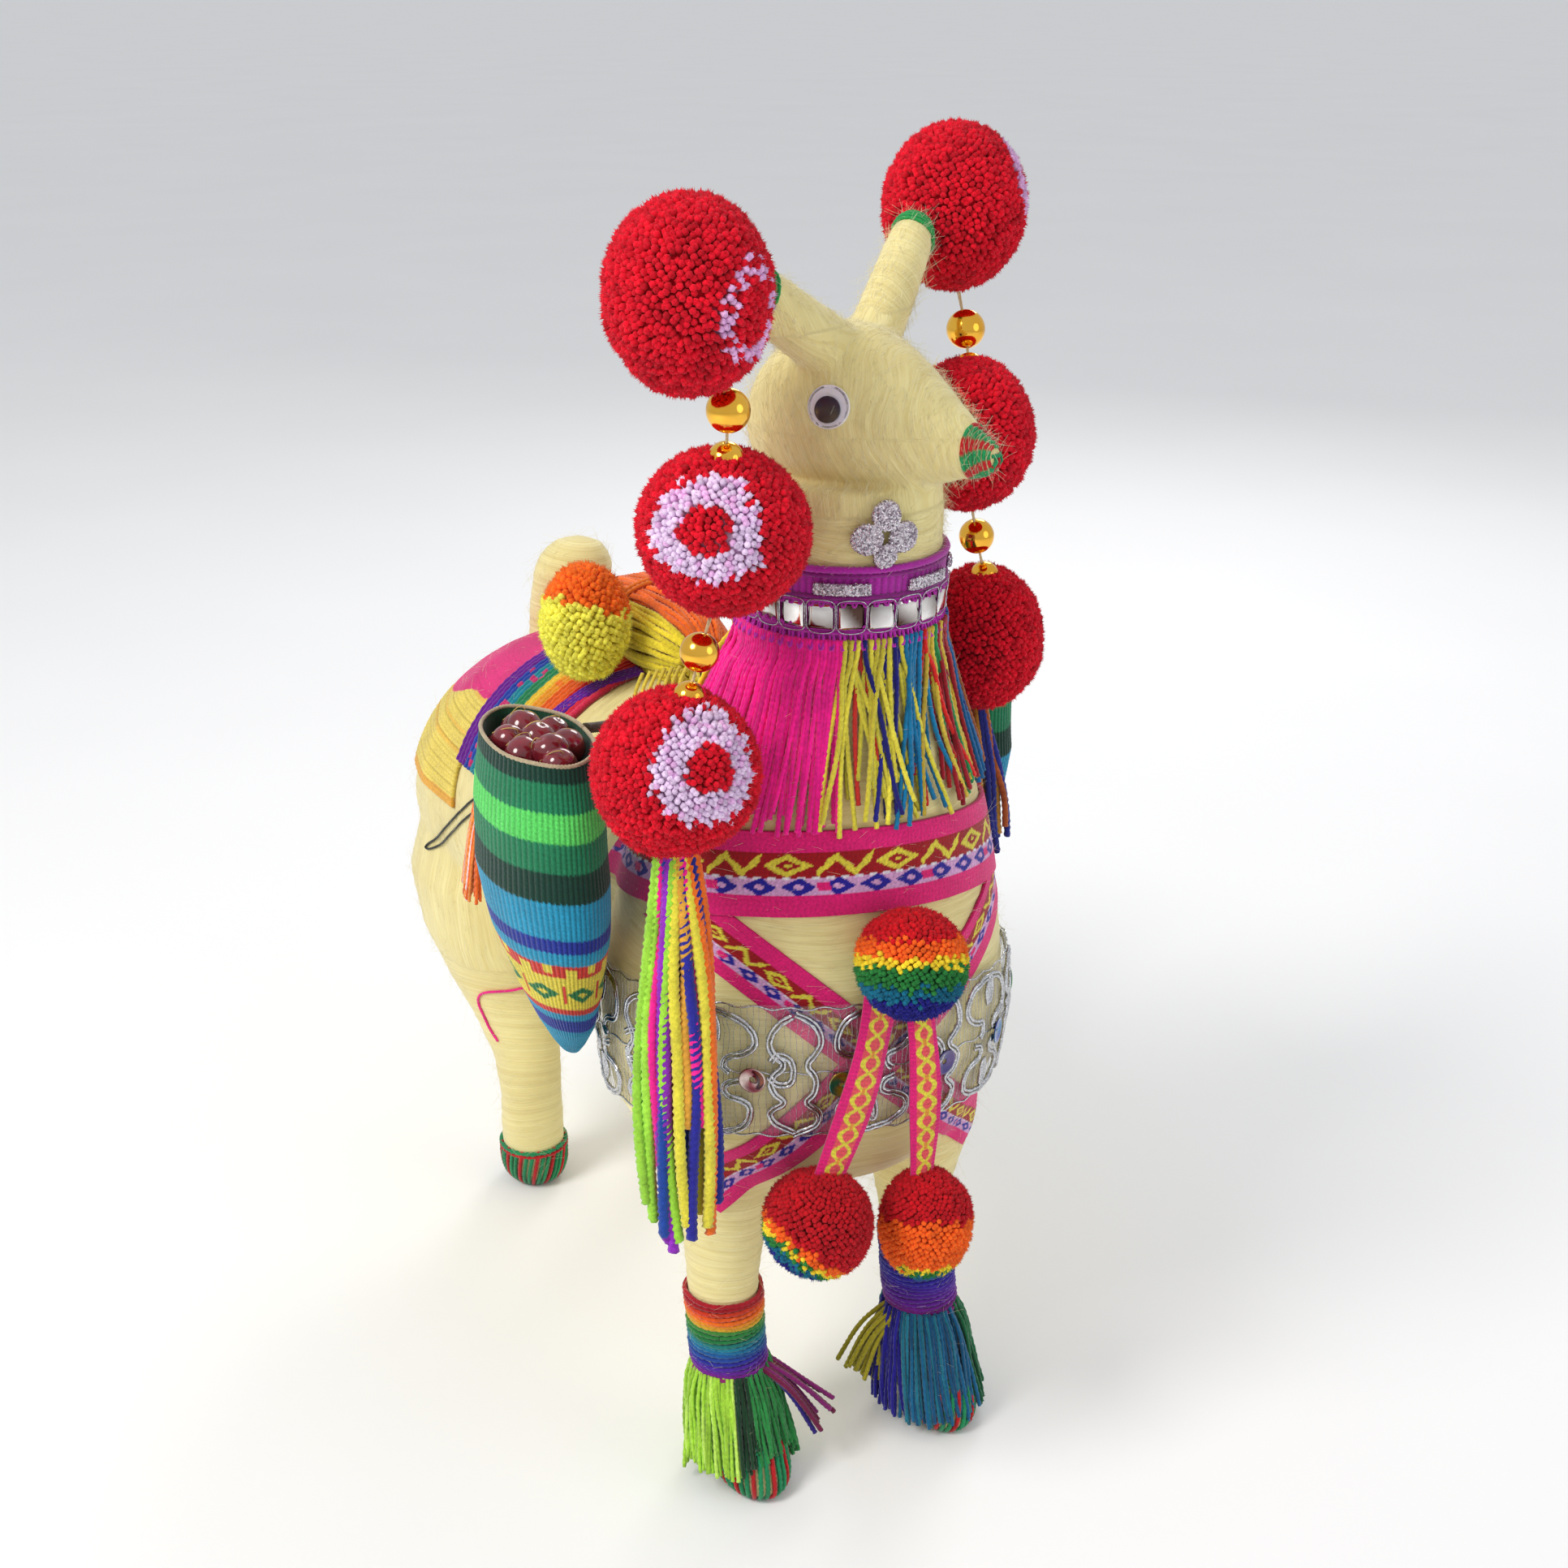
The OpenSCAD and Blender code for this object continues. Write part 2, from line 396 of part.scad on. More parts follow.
// beads and thread from point i to point i + 2 of a drop
module bead_string(p, i, d, pa, pb) {
    a = p[i];
    b = p[i + 2];
    difference() {
        union() { rod(a, b, 0.6); translate(p[i + 1]) sphere(d = d); translate(b) sphere(d = d * 0.86); }
        pompon(pa[0], pa[1], pa[2], pa[3]);
        pompon(pb[0], pb[1], pb[2], pb[3]);
    }
}
rn = [-0.45, -0.8, 0.3];
up_r = [drop_r[3], drop_pom_d, rn, 0.94];
lo_r = [drop_r[7], drop_pom_d + 1.5, rn, 0.94];
up_l = [drop_l[3], drop_pom_d, [1, 0.1, 0], 0.8];
lo_l = [drop_l[7], drop_pom_d, [1, 0.1, 0], 0.8];
tiny_r = [ear_pom_r + [0, 0, 8], 1, [0, 0, 1], 1];
module upper_beads_right() color([0.85, 0.6, 0.1]) bead_string(drop_r, 0, bead_d, up_r, tiny_r);
module upper_beads_left() color([0.85, 0.6, 0.1]) bead_string(drop_l, 0, bead_d, up_l, tiny_r);
module lower_beads_right() color([0.85, 0.6, 0.1]) bead_string(drop_r, 4, bead_d * 0.94, up_r, lo_r);
module lower_beads_left() color([0.85, 0.6, 0.1]) bead_string(drop_l, 4, bead_d * 0.94, up_l, lo_l);
module upper_pompon_right() color([0.8, 0.03, 0.08]) pompon(up_r[0], up_r[1], up_r[2], up_r[3]);
module upper_pompon_left() color([0.8, 0.03, 0.08]) pompon(up_l[0], up_l[1], up_l[2], up_l[3]);
module lower_pompon_right() color([0.8, 0.03, 0.08]) pompon(lo_r[0], lo_r[1], lo_r[2], lo_r[3]);
module lower_pompon_left() color([0.8, 0.03, 0.08]) pompon(lo_l[0], lo_l[1], lo_l[2], lo_l[3]);
module drop_tassel_right() color([0.5, 0.85, 0.15]) difference() {
    tapered([[[-68.5, -111.3, 244], 4], [[-68.5, -111.3, 238], 6.5], [[-68.5, -111.3, 226], 8], [[-68.5, -111.5, 208], 9], [[-68.5, -111.5, 190], 9.8], [[-68, -112, 172], 10.6], [[-68, -112, 155], 11.2], [[-67.5, -112.5, 140], 11.2], [[-67, -113, 130], 8]]);
    pompon(lo_r[0], lo_r[1], lo_r[2], lo_r[3]);
}
module drop_tassel_left() color([0.1, 0.15, 0.5]) difference() {
    tapered([[[61, -66.5, 251], 2.5], [[61.5, -67, 247], 3], [[62, -67.5, 241], 3.6], [[62.8, -68, 235], 4], [[63.5, -68.5, 229], 4], [[64.2, -69, 222], 4], [[65, -69.5, 215], 4], [[65.5, -70, 209], 3.6], [[66, -70, 204], 2.5]]);
    pompon(lo_l[0], lo_l[1], lo_l[2], lo_l[3]);
}

translate(shift) {
    wire_armature();
    torso_wrap();
    neck_wrap();
    head_wrap();
    ear_right();
    ear_left();
    ear_threads();
    front_leg_right();
    front_leg_left();
    rear_leg_right();
    rear_leg_left();
    tail_wrap();
    hoof_wraps();
    nose_wrap();
    eye_cup_right();
    eye_dome_right();
    pupil_right();
    eye_cup_left();
    eye_dome_left();
    pupil_left();
    collar_braid();
    collar_mirrors();
    collar_glitter();
    neck_fringe();
    chest_band();
    cross_band();
    silver_lace();
    lace_sequins();
    chest_pompon();
    strap_right();
    strap_left();
    strap_pompon_right();
    strap_pompon_left();
    ankle_cuff_right();
    ankle_cuff_left();
    ankle_tassel_right();
    ankle_tassel_left();
    saddle_blanket();
    rump_cloth();
    saddle_bundle();
    saddle_pompon();
    blanket_tassel_right();
    blanket_tassel_left();
    bag_cord();
    bag_right();
    bag_left();
    berries_right();
    berries_left();
    ear_pompon_right();
    upper_beads_right();
    upper_pompon_right();
    lower_beads_right();
    lower_pompon_right();
    drop_tassel_right();
    ear_pompon_left();
    upper_beads_left();
    upper_pompon_left();
    lower_beads_left();
    lower_pompon_left();
    drop_tassel_left();
}
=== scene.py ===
import bpy, math
import numpy as np
from mathutils import Vector, Matrix
from mathutils.bvhtree import BVHTree


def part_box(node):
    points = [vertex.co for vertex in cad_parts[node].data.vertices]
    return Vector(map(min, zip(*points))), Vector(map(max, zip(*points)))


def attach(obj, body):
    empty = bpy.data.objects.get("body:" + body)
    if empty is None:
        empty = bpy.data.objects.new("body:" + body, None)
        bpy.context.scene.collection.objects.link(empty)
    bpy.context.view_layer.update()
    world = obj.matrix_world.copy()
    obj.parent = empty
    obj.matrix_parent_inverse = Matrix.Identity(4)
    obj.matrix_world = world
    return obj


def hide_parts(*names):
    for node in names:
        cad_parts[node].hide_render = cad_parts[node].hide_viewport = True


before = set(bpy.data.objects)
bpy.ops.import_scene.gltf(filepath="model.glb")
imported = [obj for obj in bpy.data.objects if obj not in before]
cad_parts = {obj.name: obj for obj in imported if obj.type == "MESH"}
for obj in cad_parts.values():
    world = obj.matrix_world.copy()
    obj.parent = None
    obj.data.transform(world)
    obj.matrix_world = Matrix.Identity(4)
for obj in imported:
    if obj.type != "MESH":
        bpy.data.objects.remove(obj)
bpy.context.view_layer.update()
SH = np.array([0.0, -15.0, 0.0])     # the body frame's place in the row frame, mm
COL = bpy.context.scene.collection
rng = np.random.default_rng(7)


def W(p):
    """body-frame millimetres to row-frame metres"""
    return (np.asarray(p, float) + SH) * 0.001


def U(p):
    """row-frame metres to body-frame millimetres"""
    return np.asarray(p, float) * 1000.0 - SH


# ---------------------------------------------------------------- camera, light, floor
def camera():
    pitch, az = math.radians(22), math.radians(27.5)
    fwd = Vector((math.sin(az), math.cos(az), 0))
    right = Vector((math.cos(az), -math.sin(az), 0))
    A = math.cos(pitch) * fwd - math.sin(pitch) * Vector((0, 0, 1))
    Up = math.sin(pitch) * fwd + math.cos(pitch) * Vector((0, 0, 1))
    cd = bpy.data.cameras.new("camera")
    cd.sensor_width = 36
    cd.lens = 2500 / 1932 * 36
    cd.clip_start, cd.clip_end = 0.01, 50
    cam = bpy.data.objects.new("camera", cd)
    COL.objects.link(cam)
    m = Matrix((right, Up, -A)).transposed().to_4x4()
    m.translation = Vector(W((-284.014, -591.205, 478.0)))
    cam.matrix_world = m
    bpy.context.scene.camera = cam
    return cam, A, Up, right


cam, CA, CU, CR = camera()


def area(name, loc, target, size, energy, color=(1, 1, 1)):
    d = bpy.data.lights.new(name, "AREA")
    d.shape, d.size, d.energy, d.color = "DISK", size, energy, color
    o = bpy.data.objects.new(name, d)
    COL.objects.link(o)
    o.location = loc
    o.rotation_mode = "QUATERNION"
    o.rotation_quaternion = (Vector(target) - Vector(loc)).to_track_quat("-Z", "Y")
    return o


area("key", (-1.1, -0.3, 1.25), (0, 0, 0.22), 0.6, 13, (1.0, 0.98, 0.95))
area("fill", (0.9, -1.3, 0.7), (0, 0, 0.2), 1.0, 2.6, (0.95, 0.97, 1.0))
area("rim", (0.9, 0.9, 1.0), (0, 0, 0.25), 0.6, 5, (1.0, 0.98, 0.96))
world = bpy.data.worlds.new("world")
world.use_nodes = True
world.node_tree.nodes["Background"].inputs[0].default_value = (0.95, 0.97, 1.0, 1)
world.node_tree.nodes["Background"].inputs[1].default_value = 0.66
bpy.context.scene.world = world
bpy.context.scene.view_settings.view_transform = "Standard"


# ---------------------------------------------------------------- materials
class N:
    """small node-graph helper"""

    def __init__(s, name, **kw):
        s.m = bpy.data.materials.new(name)
        s.m.use_nodes = True
        s.t = s.m.node_tree
        s.b = s.t.nodes["Principled BSDF"]
        for k, v in kw.items():
            s.b.inputs[k.replace("_", " ")].default_value = v

    def new(s, kind, **kw):
        n = s.t.nodes.new(kind)
        for k, v in kw.items():
            setattr(n, k, v)
        return n

    def link(s, a, b):
        s.t.links.new(a, b)

    def attr(s, name="Col"):
        n = s.new("ShaderNodeAttribute")
        n.attribute_name = name
        return n

    def coord(s):
        return s.new("ShaderNodeTexCoord").outputs["Object"]

    def noise(s, scale, detail=3, rough=0.6, vec=None, dist=0.0):
        n = s.new("ShaderNodeTexNoise")
        n.inputs["Scale"].default_value = scale
        n.inputs["Detail"].default_value = detail
        n.inputs["Roughness"].default_value = rough
        n.inputs["Distortion"].default_value = dist
        s.link(vec if vec is not None else s.coord(), n.inputs["Vector"])
        return n

    def mapping(s, scale, vec=None):
        n = s.new("ShaderNodeMapping")
        n.inputs["Scale"].default_value = scale
        s.link(vec if vec is not None else s.coord(), n.inputs["Vector"])
        return n.outputs["Vector"]

    def ramp(s, fac, stops):
        n = s.new("ShaderNodeValToRGB")
        e = n.color_ramp.elements
        while len(e) < len(stops):
            e.new(0.5)
        for x, (p, c) in zip(e, stops):
            x.position = p
            x.color = (*c, 1) if len(c) == 3 else c
        s.link(fac, n.inputs["Fac"])
        return n.outputs["Color"]

    def mul(s, a, b, fac=1.0, mode="MULTIPLY"):
        n = s.new("ShaderNodeMix", data_type="RGBA", blend_type=mode)
        n.inputs["Factor"].default_value = fac
        s.link(a, n.inputs[6])
        s.link(b, n.inputs[7])
        return n.outputs[2]

    def bump(s, h, strength, dist=0.001):
        n = s.new("ShaderNodeBump")
        n.inputs["Strength"].default_value = strength
        n.inputs["Distance"].default_value = dist
        s.link(h, n.inputs["Height"])
        s.link(n.outputs["Normal"], s.b.inputs["Normal"])

    def color(s, c):
        s.link(c, s.b.inputs["Base Color"])


def yarn_mat(name, rough=0.92, sheen=0.25, var=(0.72, 1.12), scale=900, bump=0.35):
    n = N(name, Roughness=rough, Sheen_Weight=sheen, Sheen_Roughness=0.5, Specular_IOR_Level=0.25)
    a = n.noise(scale, 3, 0.65)
    b = n.noise(110, 2, 0.5)
    v = n.ramp(a.outputs["Fac"], [(0.3, (var[0],) * 3), (0.7, (var[1],) * 3)])
    w = n.ramp(b.outputs["Fac"], [(0.3, (0.85, 0.84, 0.86)), (0.7, (1.06, 1.06, 1.04))])
    n.color(n.mul(n.mul(n.attr().outputs["Color"], v), w))
    n.bump(a.outputs["Fac"], bump, 0.0006)
    return n.m


YARN = yarn_mat("yarn_fibre")
POM = yarn_mat("pompon_fibre", sheen=0.06, var=(0.86, 1.14), scale=700, bump=0.2)


def wool_mat():
    n = N("wound_wool", Roughness=0.88, Sheen_Weight=0.35, Sheen_Roughness=0.45, Specular_IOR_Level=0.2)
    wv = n.attr("Wind").outputs["Vector"]
    f1 = n.noise(1.0, 3, 0.6, n.mapping((2600, 55, 55), wv), 0.25)
    f2 = n.noise(1.0, 3, 0.55, n.mapping((700, 22, 22), wv), 0.6)
    f3 = n.noise(28, 3, 0.5)
    c1 = n.ramp(f1.outputs["Fac"], [(0.28, (0.76, 0.64, 0.28)), (0.5, (0.84, 0.74, 0.36)), (0.75, (0.92, 0.84, 0.48))])
    c2 = n.ramp(f2.outputs["Fac"], [(0.3, (0.92, 0.90, 0.84)), (0.65, (1.03, 1.03, 1.0))])
    c3 = n.ramp(f3.outputs["Fac"], [(0.3, (0.93, 0.9, 0.84)), (0.7, (1.03, 1.03, 1.03))])
    n.color(n.mul(n.mul(c1, c2), c3))
    h = n.new("ShaderNodeMath", operation="ADD")
    n.link(f1.outputs["Fac"], h.inputs[0])
    n.link(f2.outputs["Fac"], h.inputs[1])
    n.bump(h.outputs[0], 0.4, 0.0006)
    return n.m


WOOL = wool_mat()


def hair_mat():
    n = N("wool_fuzz", Roughness=0.7, Sheen_Weight=0.4, Specular_IOR_Level=0.3)
    a = n.noise(160, 2)
    n.color(n.ramp(a.outputs["Fac"], [(0.3, (0.84, 0.75, 0.40)), (0.7, (0.95, 0.90, 0.64))]))
    return n.m


HAIR = hair_mat()


def cloth_mat(name, scale=1400, sheen=0.25, rough=0.9, bump=0.5):
    n = N(name, Roughness=rough, Sheen_Weight=sheen, Specular_IOR_Level=0.22)
    a = n.noise(scale, 3, 0.7)
    b = n.noise(70, 3, 0.5)
    v = n.ramp(a.outputs["Fac"], [(0.28, (0.66, 0.65, 0.67)), (0.7, (1.12, 1.12, 1.12))])
    w = n.ramp(b.outputs["Fac"], [(0.3, (0.86, 0.85, 0.85)), (0.7, (1.05, 1.05, 1.05))])
    n.color(n.mul(n.mul(n.attr().outputs["Color"], v), w))
    n.bump(a.outputs["Fac"], bump, 0.0005)
    return n.m


CLOTH = cloth_mat("hand_woven")
BRAID = cloth_mat("purple_braid_fibre", 1800, 0.3, 0.8, 0.4)


def metal_mat(name, base, dark, rough, scale=300):
    n = N(name, Metallic=1.0, Roughness=rough)
    a = n.noise(scale, 3, 0.6)
    n.color(n.ramp(a.outputs["Fac"], [(0.25, dark), (0.65, base)]))
    r = n.new("ShaderNodeMapRange")
    r.inputs["To Min"].default_value = max(0.02, rough * 0.7)
    r.inputs["To Max"].default_value = rough * 1.7
    n.link(a.outputs["Fac"], r.inputs["Value"])
    n.link(r.outputs["Result"], n.b.inputs["Roughness"])
    n.bump(a.outputs["Fac"], 0.04, 0.0003)
    return n.m


GOLD = metal_mat("gold_bead", (1.0, 0.58, 0.08), (0.88, 0.42, 0.04), 0.1, 60)
SILVER = metal_mat("silver_cord", (0.80, 0.81, 0.83), (0.10, 0.10, 0.12), 0.2, 2300)


def foil_mat():
    n = N("mirror_foil", Metallic=1.0, Roughness=0.1)
    a = n.noise(190, 3, 0.6)
    n.color(n.mul(n.ramp(a.outputs["Fac"], [(0.25, (0.74, 0.68, 0.64)), (0.65, (0.95, 0.94, 0.93))]), n.attr().outputs["Color"]))
    n.bump(a.outputs["Fac"], 0.04, 0.0003)
    return n.m


FOIL = foil_mat()


def glitter_mat():
    n = N("glitter", Metallic=0.85, Roughness=0.25)
    v = n.new("ShaderNodeTexVoronoi")
    v.inputs["Scale"].default_value = 1900
    n.link(n.coord(), v.inputs["Vector"])
    n.color(n.ramp(v.outputs["Color"], [(0.2, (0.30, 0.24, 0.30)), (0.5, (0.74, 0.66, 0.74)), (0.8, (1.0, 0.97, 1.0))]))
    n.bump(v.outputs["Distance"], 0.9, 0.0006)
    return n.m


GLIT = glitter_mat()


def net_mat():
    n = N("clear_net", Roughness=0.35, Alpha=0.07, Specular_IOR_Level=0.6)
    a = n.noise(1500, 2)
    n.color(n.ramp(a.outputs["Fac"], [(0.3, (0.62, 0.60, 0.58)), (0.7, (0.95, 0.94, 0.92))]))
    return n.m


NET = net_mat()


def gloss_mat(name, c0, c1, rough=0.15, coat=0.5, scale=60):
    n = N(name, Roughness=rough, Coat_Weight=coat, Coat_Roughness=0.05)
    a = n.noise(scale, 3)
    n.color(n.ramp(a.outputs["Fac"], [(0.3, c0), (0.7, c1)]))
    n.bump(n.noise(500, 2).outputs["Fac"], 0.05, 0.0003)
    return n.m


BERRY = gloss_mat("berry_skin", (0.10, 0.006, 0.012), (0.24, 0.018, 0.03), 0.16, 0.6, 140)
WHITE = gloss_mat("eye_white", (0.80, 0.78, 0.90), (0.95, 0.94, 0.99), 0.2, 0.5, 90)
BLACK = gloss_mat("eye_black", (0.003, 0.003, 0.014), (0.008, 0.008, 0.045), 0.15, 0.5)


def attr_gloss(name, rough, metallic=0.0, coat=0.4):
    n = N(name, Roughness=rough, Metallic=metallic, Coat_Weight=coat)
    a = n.noise(700, 2)
    v = n.ramp(a.outputs["Fac"], [(0.3, (0.8,) * 3), (0.7, (1.2,) * 3)])
    n.color(n.mul(n.attr().outputs["Color"], v))
    return n.m


SEQUIN = attr_gloss("sequin_film", 0.12, 0.75, 0.8)


def dome_mat():
    n = N("clear_dome", Roughness=0.04, Alpha=0.04, Specular_IOR_Level=1.0, Coat_Weight=0.25, Coat_Roughness=0.02)
    a = n.noise(200, 2)
    n.color(n.ramp(a.outputs["Fac"], [(0.3, (0.22, 0.22, 0.26)), (0.7, (0.30, 0.30, 0.34))]))
    return n.m


DOME = dome_mat()
THREAD = yarn_mat("thread_fibre", 0.8, 0.2, (0.8, 1.1), 1500, 0.2)


# ---------------------------------------------------------------- mesh building
class MB:
    """collects quads and triangles in body-frame millimetres, with a colour at each point"""

    def __init__(s):
        s.V, s.Q, s.T, s.C, s.n = [], [], [], [], 0

    def add(s, V, Q=None, T=None, c=(1, 1, 1)):
        V = np.asarray(V, float)
        s.V.append(V)
        c = np.asarray(c, float)
        s.C.append(np.broadcast_to(c, (len(V), 3)) if c.ndim == 1 else c)
        if Q is not None and len(Q):
            s.Q.append(np.asarray(Q, int) + s.n)
        if T is not None and len(T):
            s.T.append(np.asarray(T, int) + s.n)
        s.n += len(V)

    def obj(s, name, mat, smooth=True, extra=None):
        V = W(np.concatenate(s.V)).astype(np.float32)
        C = np.concatenate(s.C)
        Q = np.concatenate(s.Q) if s.Q else np.zeros((0, 4), int)
        T = np.concatenate(s.T) if s.T else np.zeros((0, 3), int)
        me = bpy.data.meshes.new(name)
        me.vertices.add(len(V))
        me.vertices.foreach_set("co", V.ravel())
        loops = np.concatenate([Q.ravel(), T.ravel()]).astype(np.int32)
        me.loops.add(len(loops))
        me.loops.foreach_set("vertex_index", loops)
        me.polygons.add(len(Q) + len(T))
        st = np.concatenate([np.arange(len(Q)) * 4, len(Q) * 4 + np.arange(len(T)) * 3]).astype(np.int32)
        me.polygons.foreach_set("loop_start", st)
        me.update(calc_edges=True)
        me.validate()
        me.polygons.foreach_set("use_smooth", np.full(len(me.polygons), smooth))
        a = me.color_attributes.new("Col", "FLOAT_COLOR", "POINT")
        a.data.foreach_set("color", np.concatenate([C, np.ones((len(C), 1))], 1).astype(np.float32).ravel())
        me.materials.append(mat)
        o = bpy.data.objects.new(name, me)
        COL.objects.link(o)
        return o


def resample(P, step):
    P = np.asarray(P, float)
    d = np.linalg.norm(np.diff(P, axis=0), axis=1)
    s = np.concatenate([[0], np.cumsum(d)])
    n = max(3, int(math.ceil(s[-1] / step)) + 1)
    t = np.linspace(0, s[-1], n)
    return np.stack([np.interp(t, s, P[:, i]) for i in range(3)], 1)


def smooth_path(P, it=2):
    """Chaikin corner cutting, ends kept"""
    P = np.asarray(P, float)
    for _ in range(it):
        a, b = P[:-1], P[1:]
        Q = np.empty((2 * len(a), 3))
        Q[0::2] = a * 0.75 + b * 0.25
        Q[1::2] = a * 0.25 + b * 0.75
        P = np.concatenate([P[:1], Q, P[-1:]])
    return P


def tube(mb, P, r, c, sides=6, ply=0, pitch=4.0, phase=0.0, taper=(1.0, 1.0), flat=None):
    """a closed tube along P. ply > 0 gives it a twisted cross-section of that many strands."""
    P = np.asarray(P, float)
    n = len(P)
    t = np.gradient(P, axis=0)
    t /= np.linalg.norm(t, axis=1, keepdims=True) + 1e-12
    ref = np.array([0, 0, 1.0]) if abs(t[0, 2]) < 0.8 else np.array([1.0, 0, 0])
    u = np.cross(t[0], ref)
    u /= np.linalg.norm(u)
    us = [u]
    for i in range(1, n):
        u = u - t[i] * (u @ t[i])
        u /= np.linalg.norm(u) + 1e-12
        us.append(u)
    us = np.array(us)
    vs = np.cross(t, us)
    s = np.concatenate([[0], np.cumsum(np.linalg.norm(np.diff(P, axis=0), axis=1))])
    th = np.arange(sides) / sides * 2 * math.pi
    rad = np.full((n, sides), 1.0)
    if ply:
        ph = phase + s / pitch * 2 * math.pi
        rad = 0.66 + 0.36 * np.abs(np.cos((th[None, :] - ph[:, None]) * ply / 2.0))
    tp = np.interp(s / s[-1], [0, 0.5, 1], [taper[0], 1, taper[1]]) if taper != (1.0, 1.0) else np.ones(n)
    rr = rad * r * tp[:, None] if np.ndim(r) == 0 else rad * np.asarray(r)[:, None]
    ca, sa = np.cos(th), np.sin(th)
    V = P[:, None, :] + rr[:, :, None] * (ca[None, :, None] * us[:, None, :] + sa[None, :, None] * vs[:, None, :])
    V = V.reshape(-1, 3)
    i = np.arange(n - 1)[:, None] * sides
    j = np.arange(sides)[None, :]
    k = (j + 1) % sides
    Q = np.stack([i + j, i + k, i + sides + k, i + sides + j], -1).reshape(-1, 4)
    a, b = len(V), len(V) + 1
    V = np.concatenate([V, [P[0] - t[0] * r * 0.3 if np.ndim(r) == 0 else P[0]], [P[-1] + t[-1] * r * 0.3 if np.ndim(r) == 0 else P[-1]]])
    jj = np.arange(sides)
    kk = (jj + 1) % sides
    T = np.concatenate([np.stack([np.full(sides, a), kk, jj], 1), np.stack([np.full(sides, b), (n - 1) * sides + jj, (n - 1) * sides + kk], 1)])
    c = np.asarray(c, float)
    if c.ndim == 2:
        c = np.concatenate([np.repeat(c, sides, 0), c[:1], c[-1:]])
    mb.add(V, Q, T, c)


def yarn(mb, P, r, c, step=0.8, pitch=4.2, sides=7, vary=0.12):
    P = resample(P, step)
    c = np.asarray(c) * (1 + vary * (rng.random() * 2 - 1))
    tube(mb, P, r, c, sides, 2, pitch, rng.random() * 6.28)


def wiggle(P, amp, n=3, seed=None):
    """adds a smooth sideways wave that grows along the path"""
    P = np.asarray(P, float)
    t = np.linspace(0, 1, len(P))
    off = np.zeros_like(P)
    for k in range(1, n + 1):
        a = rng.normal(size=3) * amp / k
        off += np.sin(t * math.pi * k * (0.8 + 0.5 * rng.random()) + rng.random() * 6.28)[:, None] * a
    off -= off[0]
    return P + off * np.minimum(1, t * 2.2)[:, None]


def node_mesh(names):
    """the CAD nodes' triangles as one mesh, in row-frame metres"""
    V, F, n = [], [], 0
    for nm in names:
        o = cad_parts[nm]
        me = o.data
        v = np.empty(len(me.vertices) * 3)
        me.vertices.foreach_get("co", v)
        v = v.reshape(-1, 3)
        M = np.array(o.matrix_world)
        v = v @ M[:3, :3].T + M[:3, 3]
        V += [tuple(x) for x in v]
        F += [tuple(i + n for i in p.vertices) for p in me.polygons]
        n += len(v)
    return V, F


def remeshed(name, nodes, voxel, smooth_it, mat):
    V, F = node_mesh(nodes)
    me = bpy.data.meshes.new(name + "_src")
    me.from_pydata(V, [], F)
    o = bpy.data.objects.new(name + "_src", me)
    COL.objects.link(o)
    m = o.modifiers.new("r", "REMESH")
    m.mode, m.voxel_size, m.use_smooth_shade = "VOXEL", voxel, True
    s = o.modifiers.new("s", "SMOOTH")
    s.factor, s.iterations = 0.5, smooth_it
    dg = bpy.context.evaluated_depsgraph_get()
    out = bpy.data.meshes.new_from_object(o.evaluated_get(dg))
    bpy.data.objects.remove(o)
    out.name = name
    out.materials.clear()
    out.materials.append(mat)
    p = bpy.data.objects.new(name, out)
    COL.objects.link(p)
    return p


def verts(me):
    v = np.empty(len(me.vertices) * 3)
    me.vertices.foreach_get("co", v)
    return v.reshape(-1, 3)


def normals(me):
    v = np.empty(len(me.vertices) * 3)
    me.vertices.foreach_get("normal", v)
    return v.reshape(-1, 3)


def set_vec(me, name, val):
    a = me.attributes.new(name, "FLOAT_VECTOR", "POINT")
    a.data.foreach_set("vector", np.asarray(val, np.float32).ravel())


HDIR = np.array([0.5, -0.8660254, 0.0])
HLEFT = np.array([0.8660254, 0.5, 0.0])
HC = np.array([0, -88.0, 0])

# ---------------------------------------------------------------- wound wool
body = remeshed("wool_body", ["torso_wrap", "front_leg_right", "front_leg_left", "rear_leg_right", "rear_leg_left", "tail_wrap"], 0.0017, 14, WOOL)
head = remeshed("wool_head_neck", ["head_wrap", "neck_wrap", "ear_right", "ear_left"], 0.00105, 9, WOOL)


def relax(o, weight, it):
    """evens out the hollows where weight(points) is near 1"""
    me = o.data
    P = verts(me)
    e = np.empty(len(me.edges) * 2, np.int32)
    me.edges.foreach_get("vertices", e)
    e = e.reshape(-1, 2)
    w = weight(U(P))[:, None]
    deg = np.bincount(e.ravel(), minlength=len(P))[:, None].astype(float)
    for _ in range(it):
        S = np.stack([np.bincount(e[:, 0], P[e[:, 1], i], len(P)) + np.bincount(e[:, 1], P[e[:, 0], i], len(P)) for i in range(3)], 1)
        P = P + (S / deg - P) * w * 0.7
    me.vertices.foreach_set("co", P.astype(np.float32).ravel())
    me.update()


relax(head, lambda Q: np.clip((Q[:, 2] - 322) / 5, 0, 1) * np.clip((342 - Q[:, 2]) / 7, 0, 1), 22)


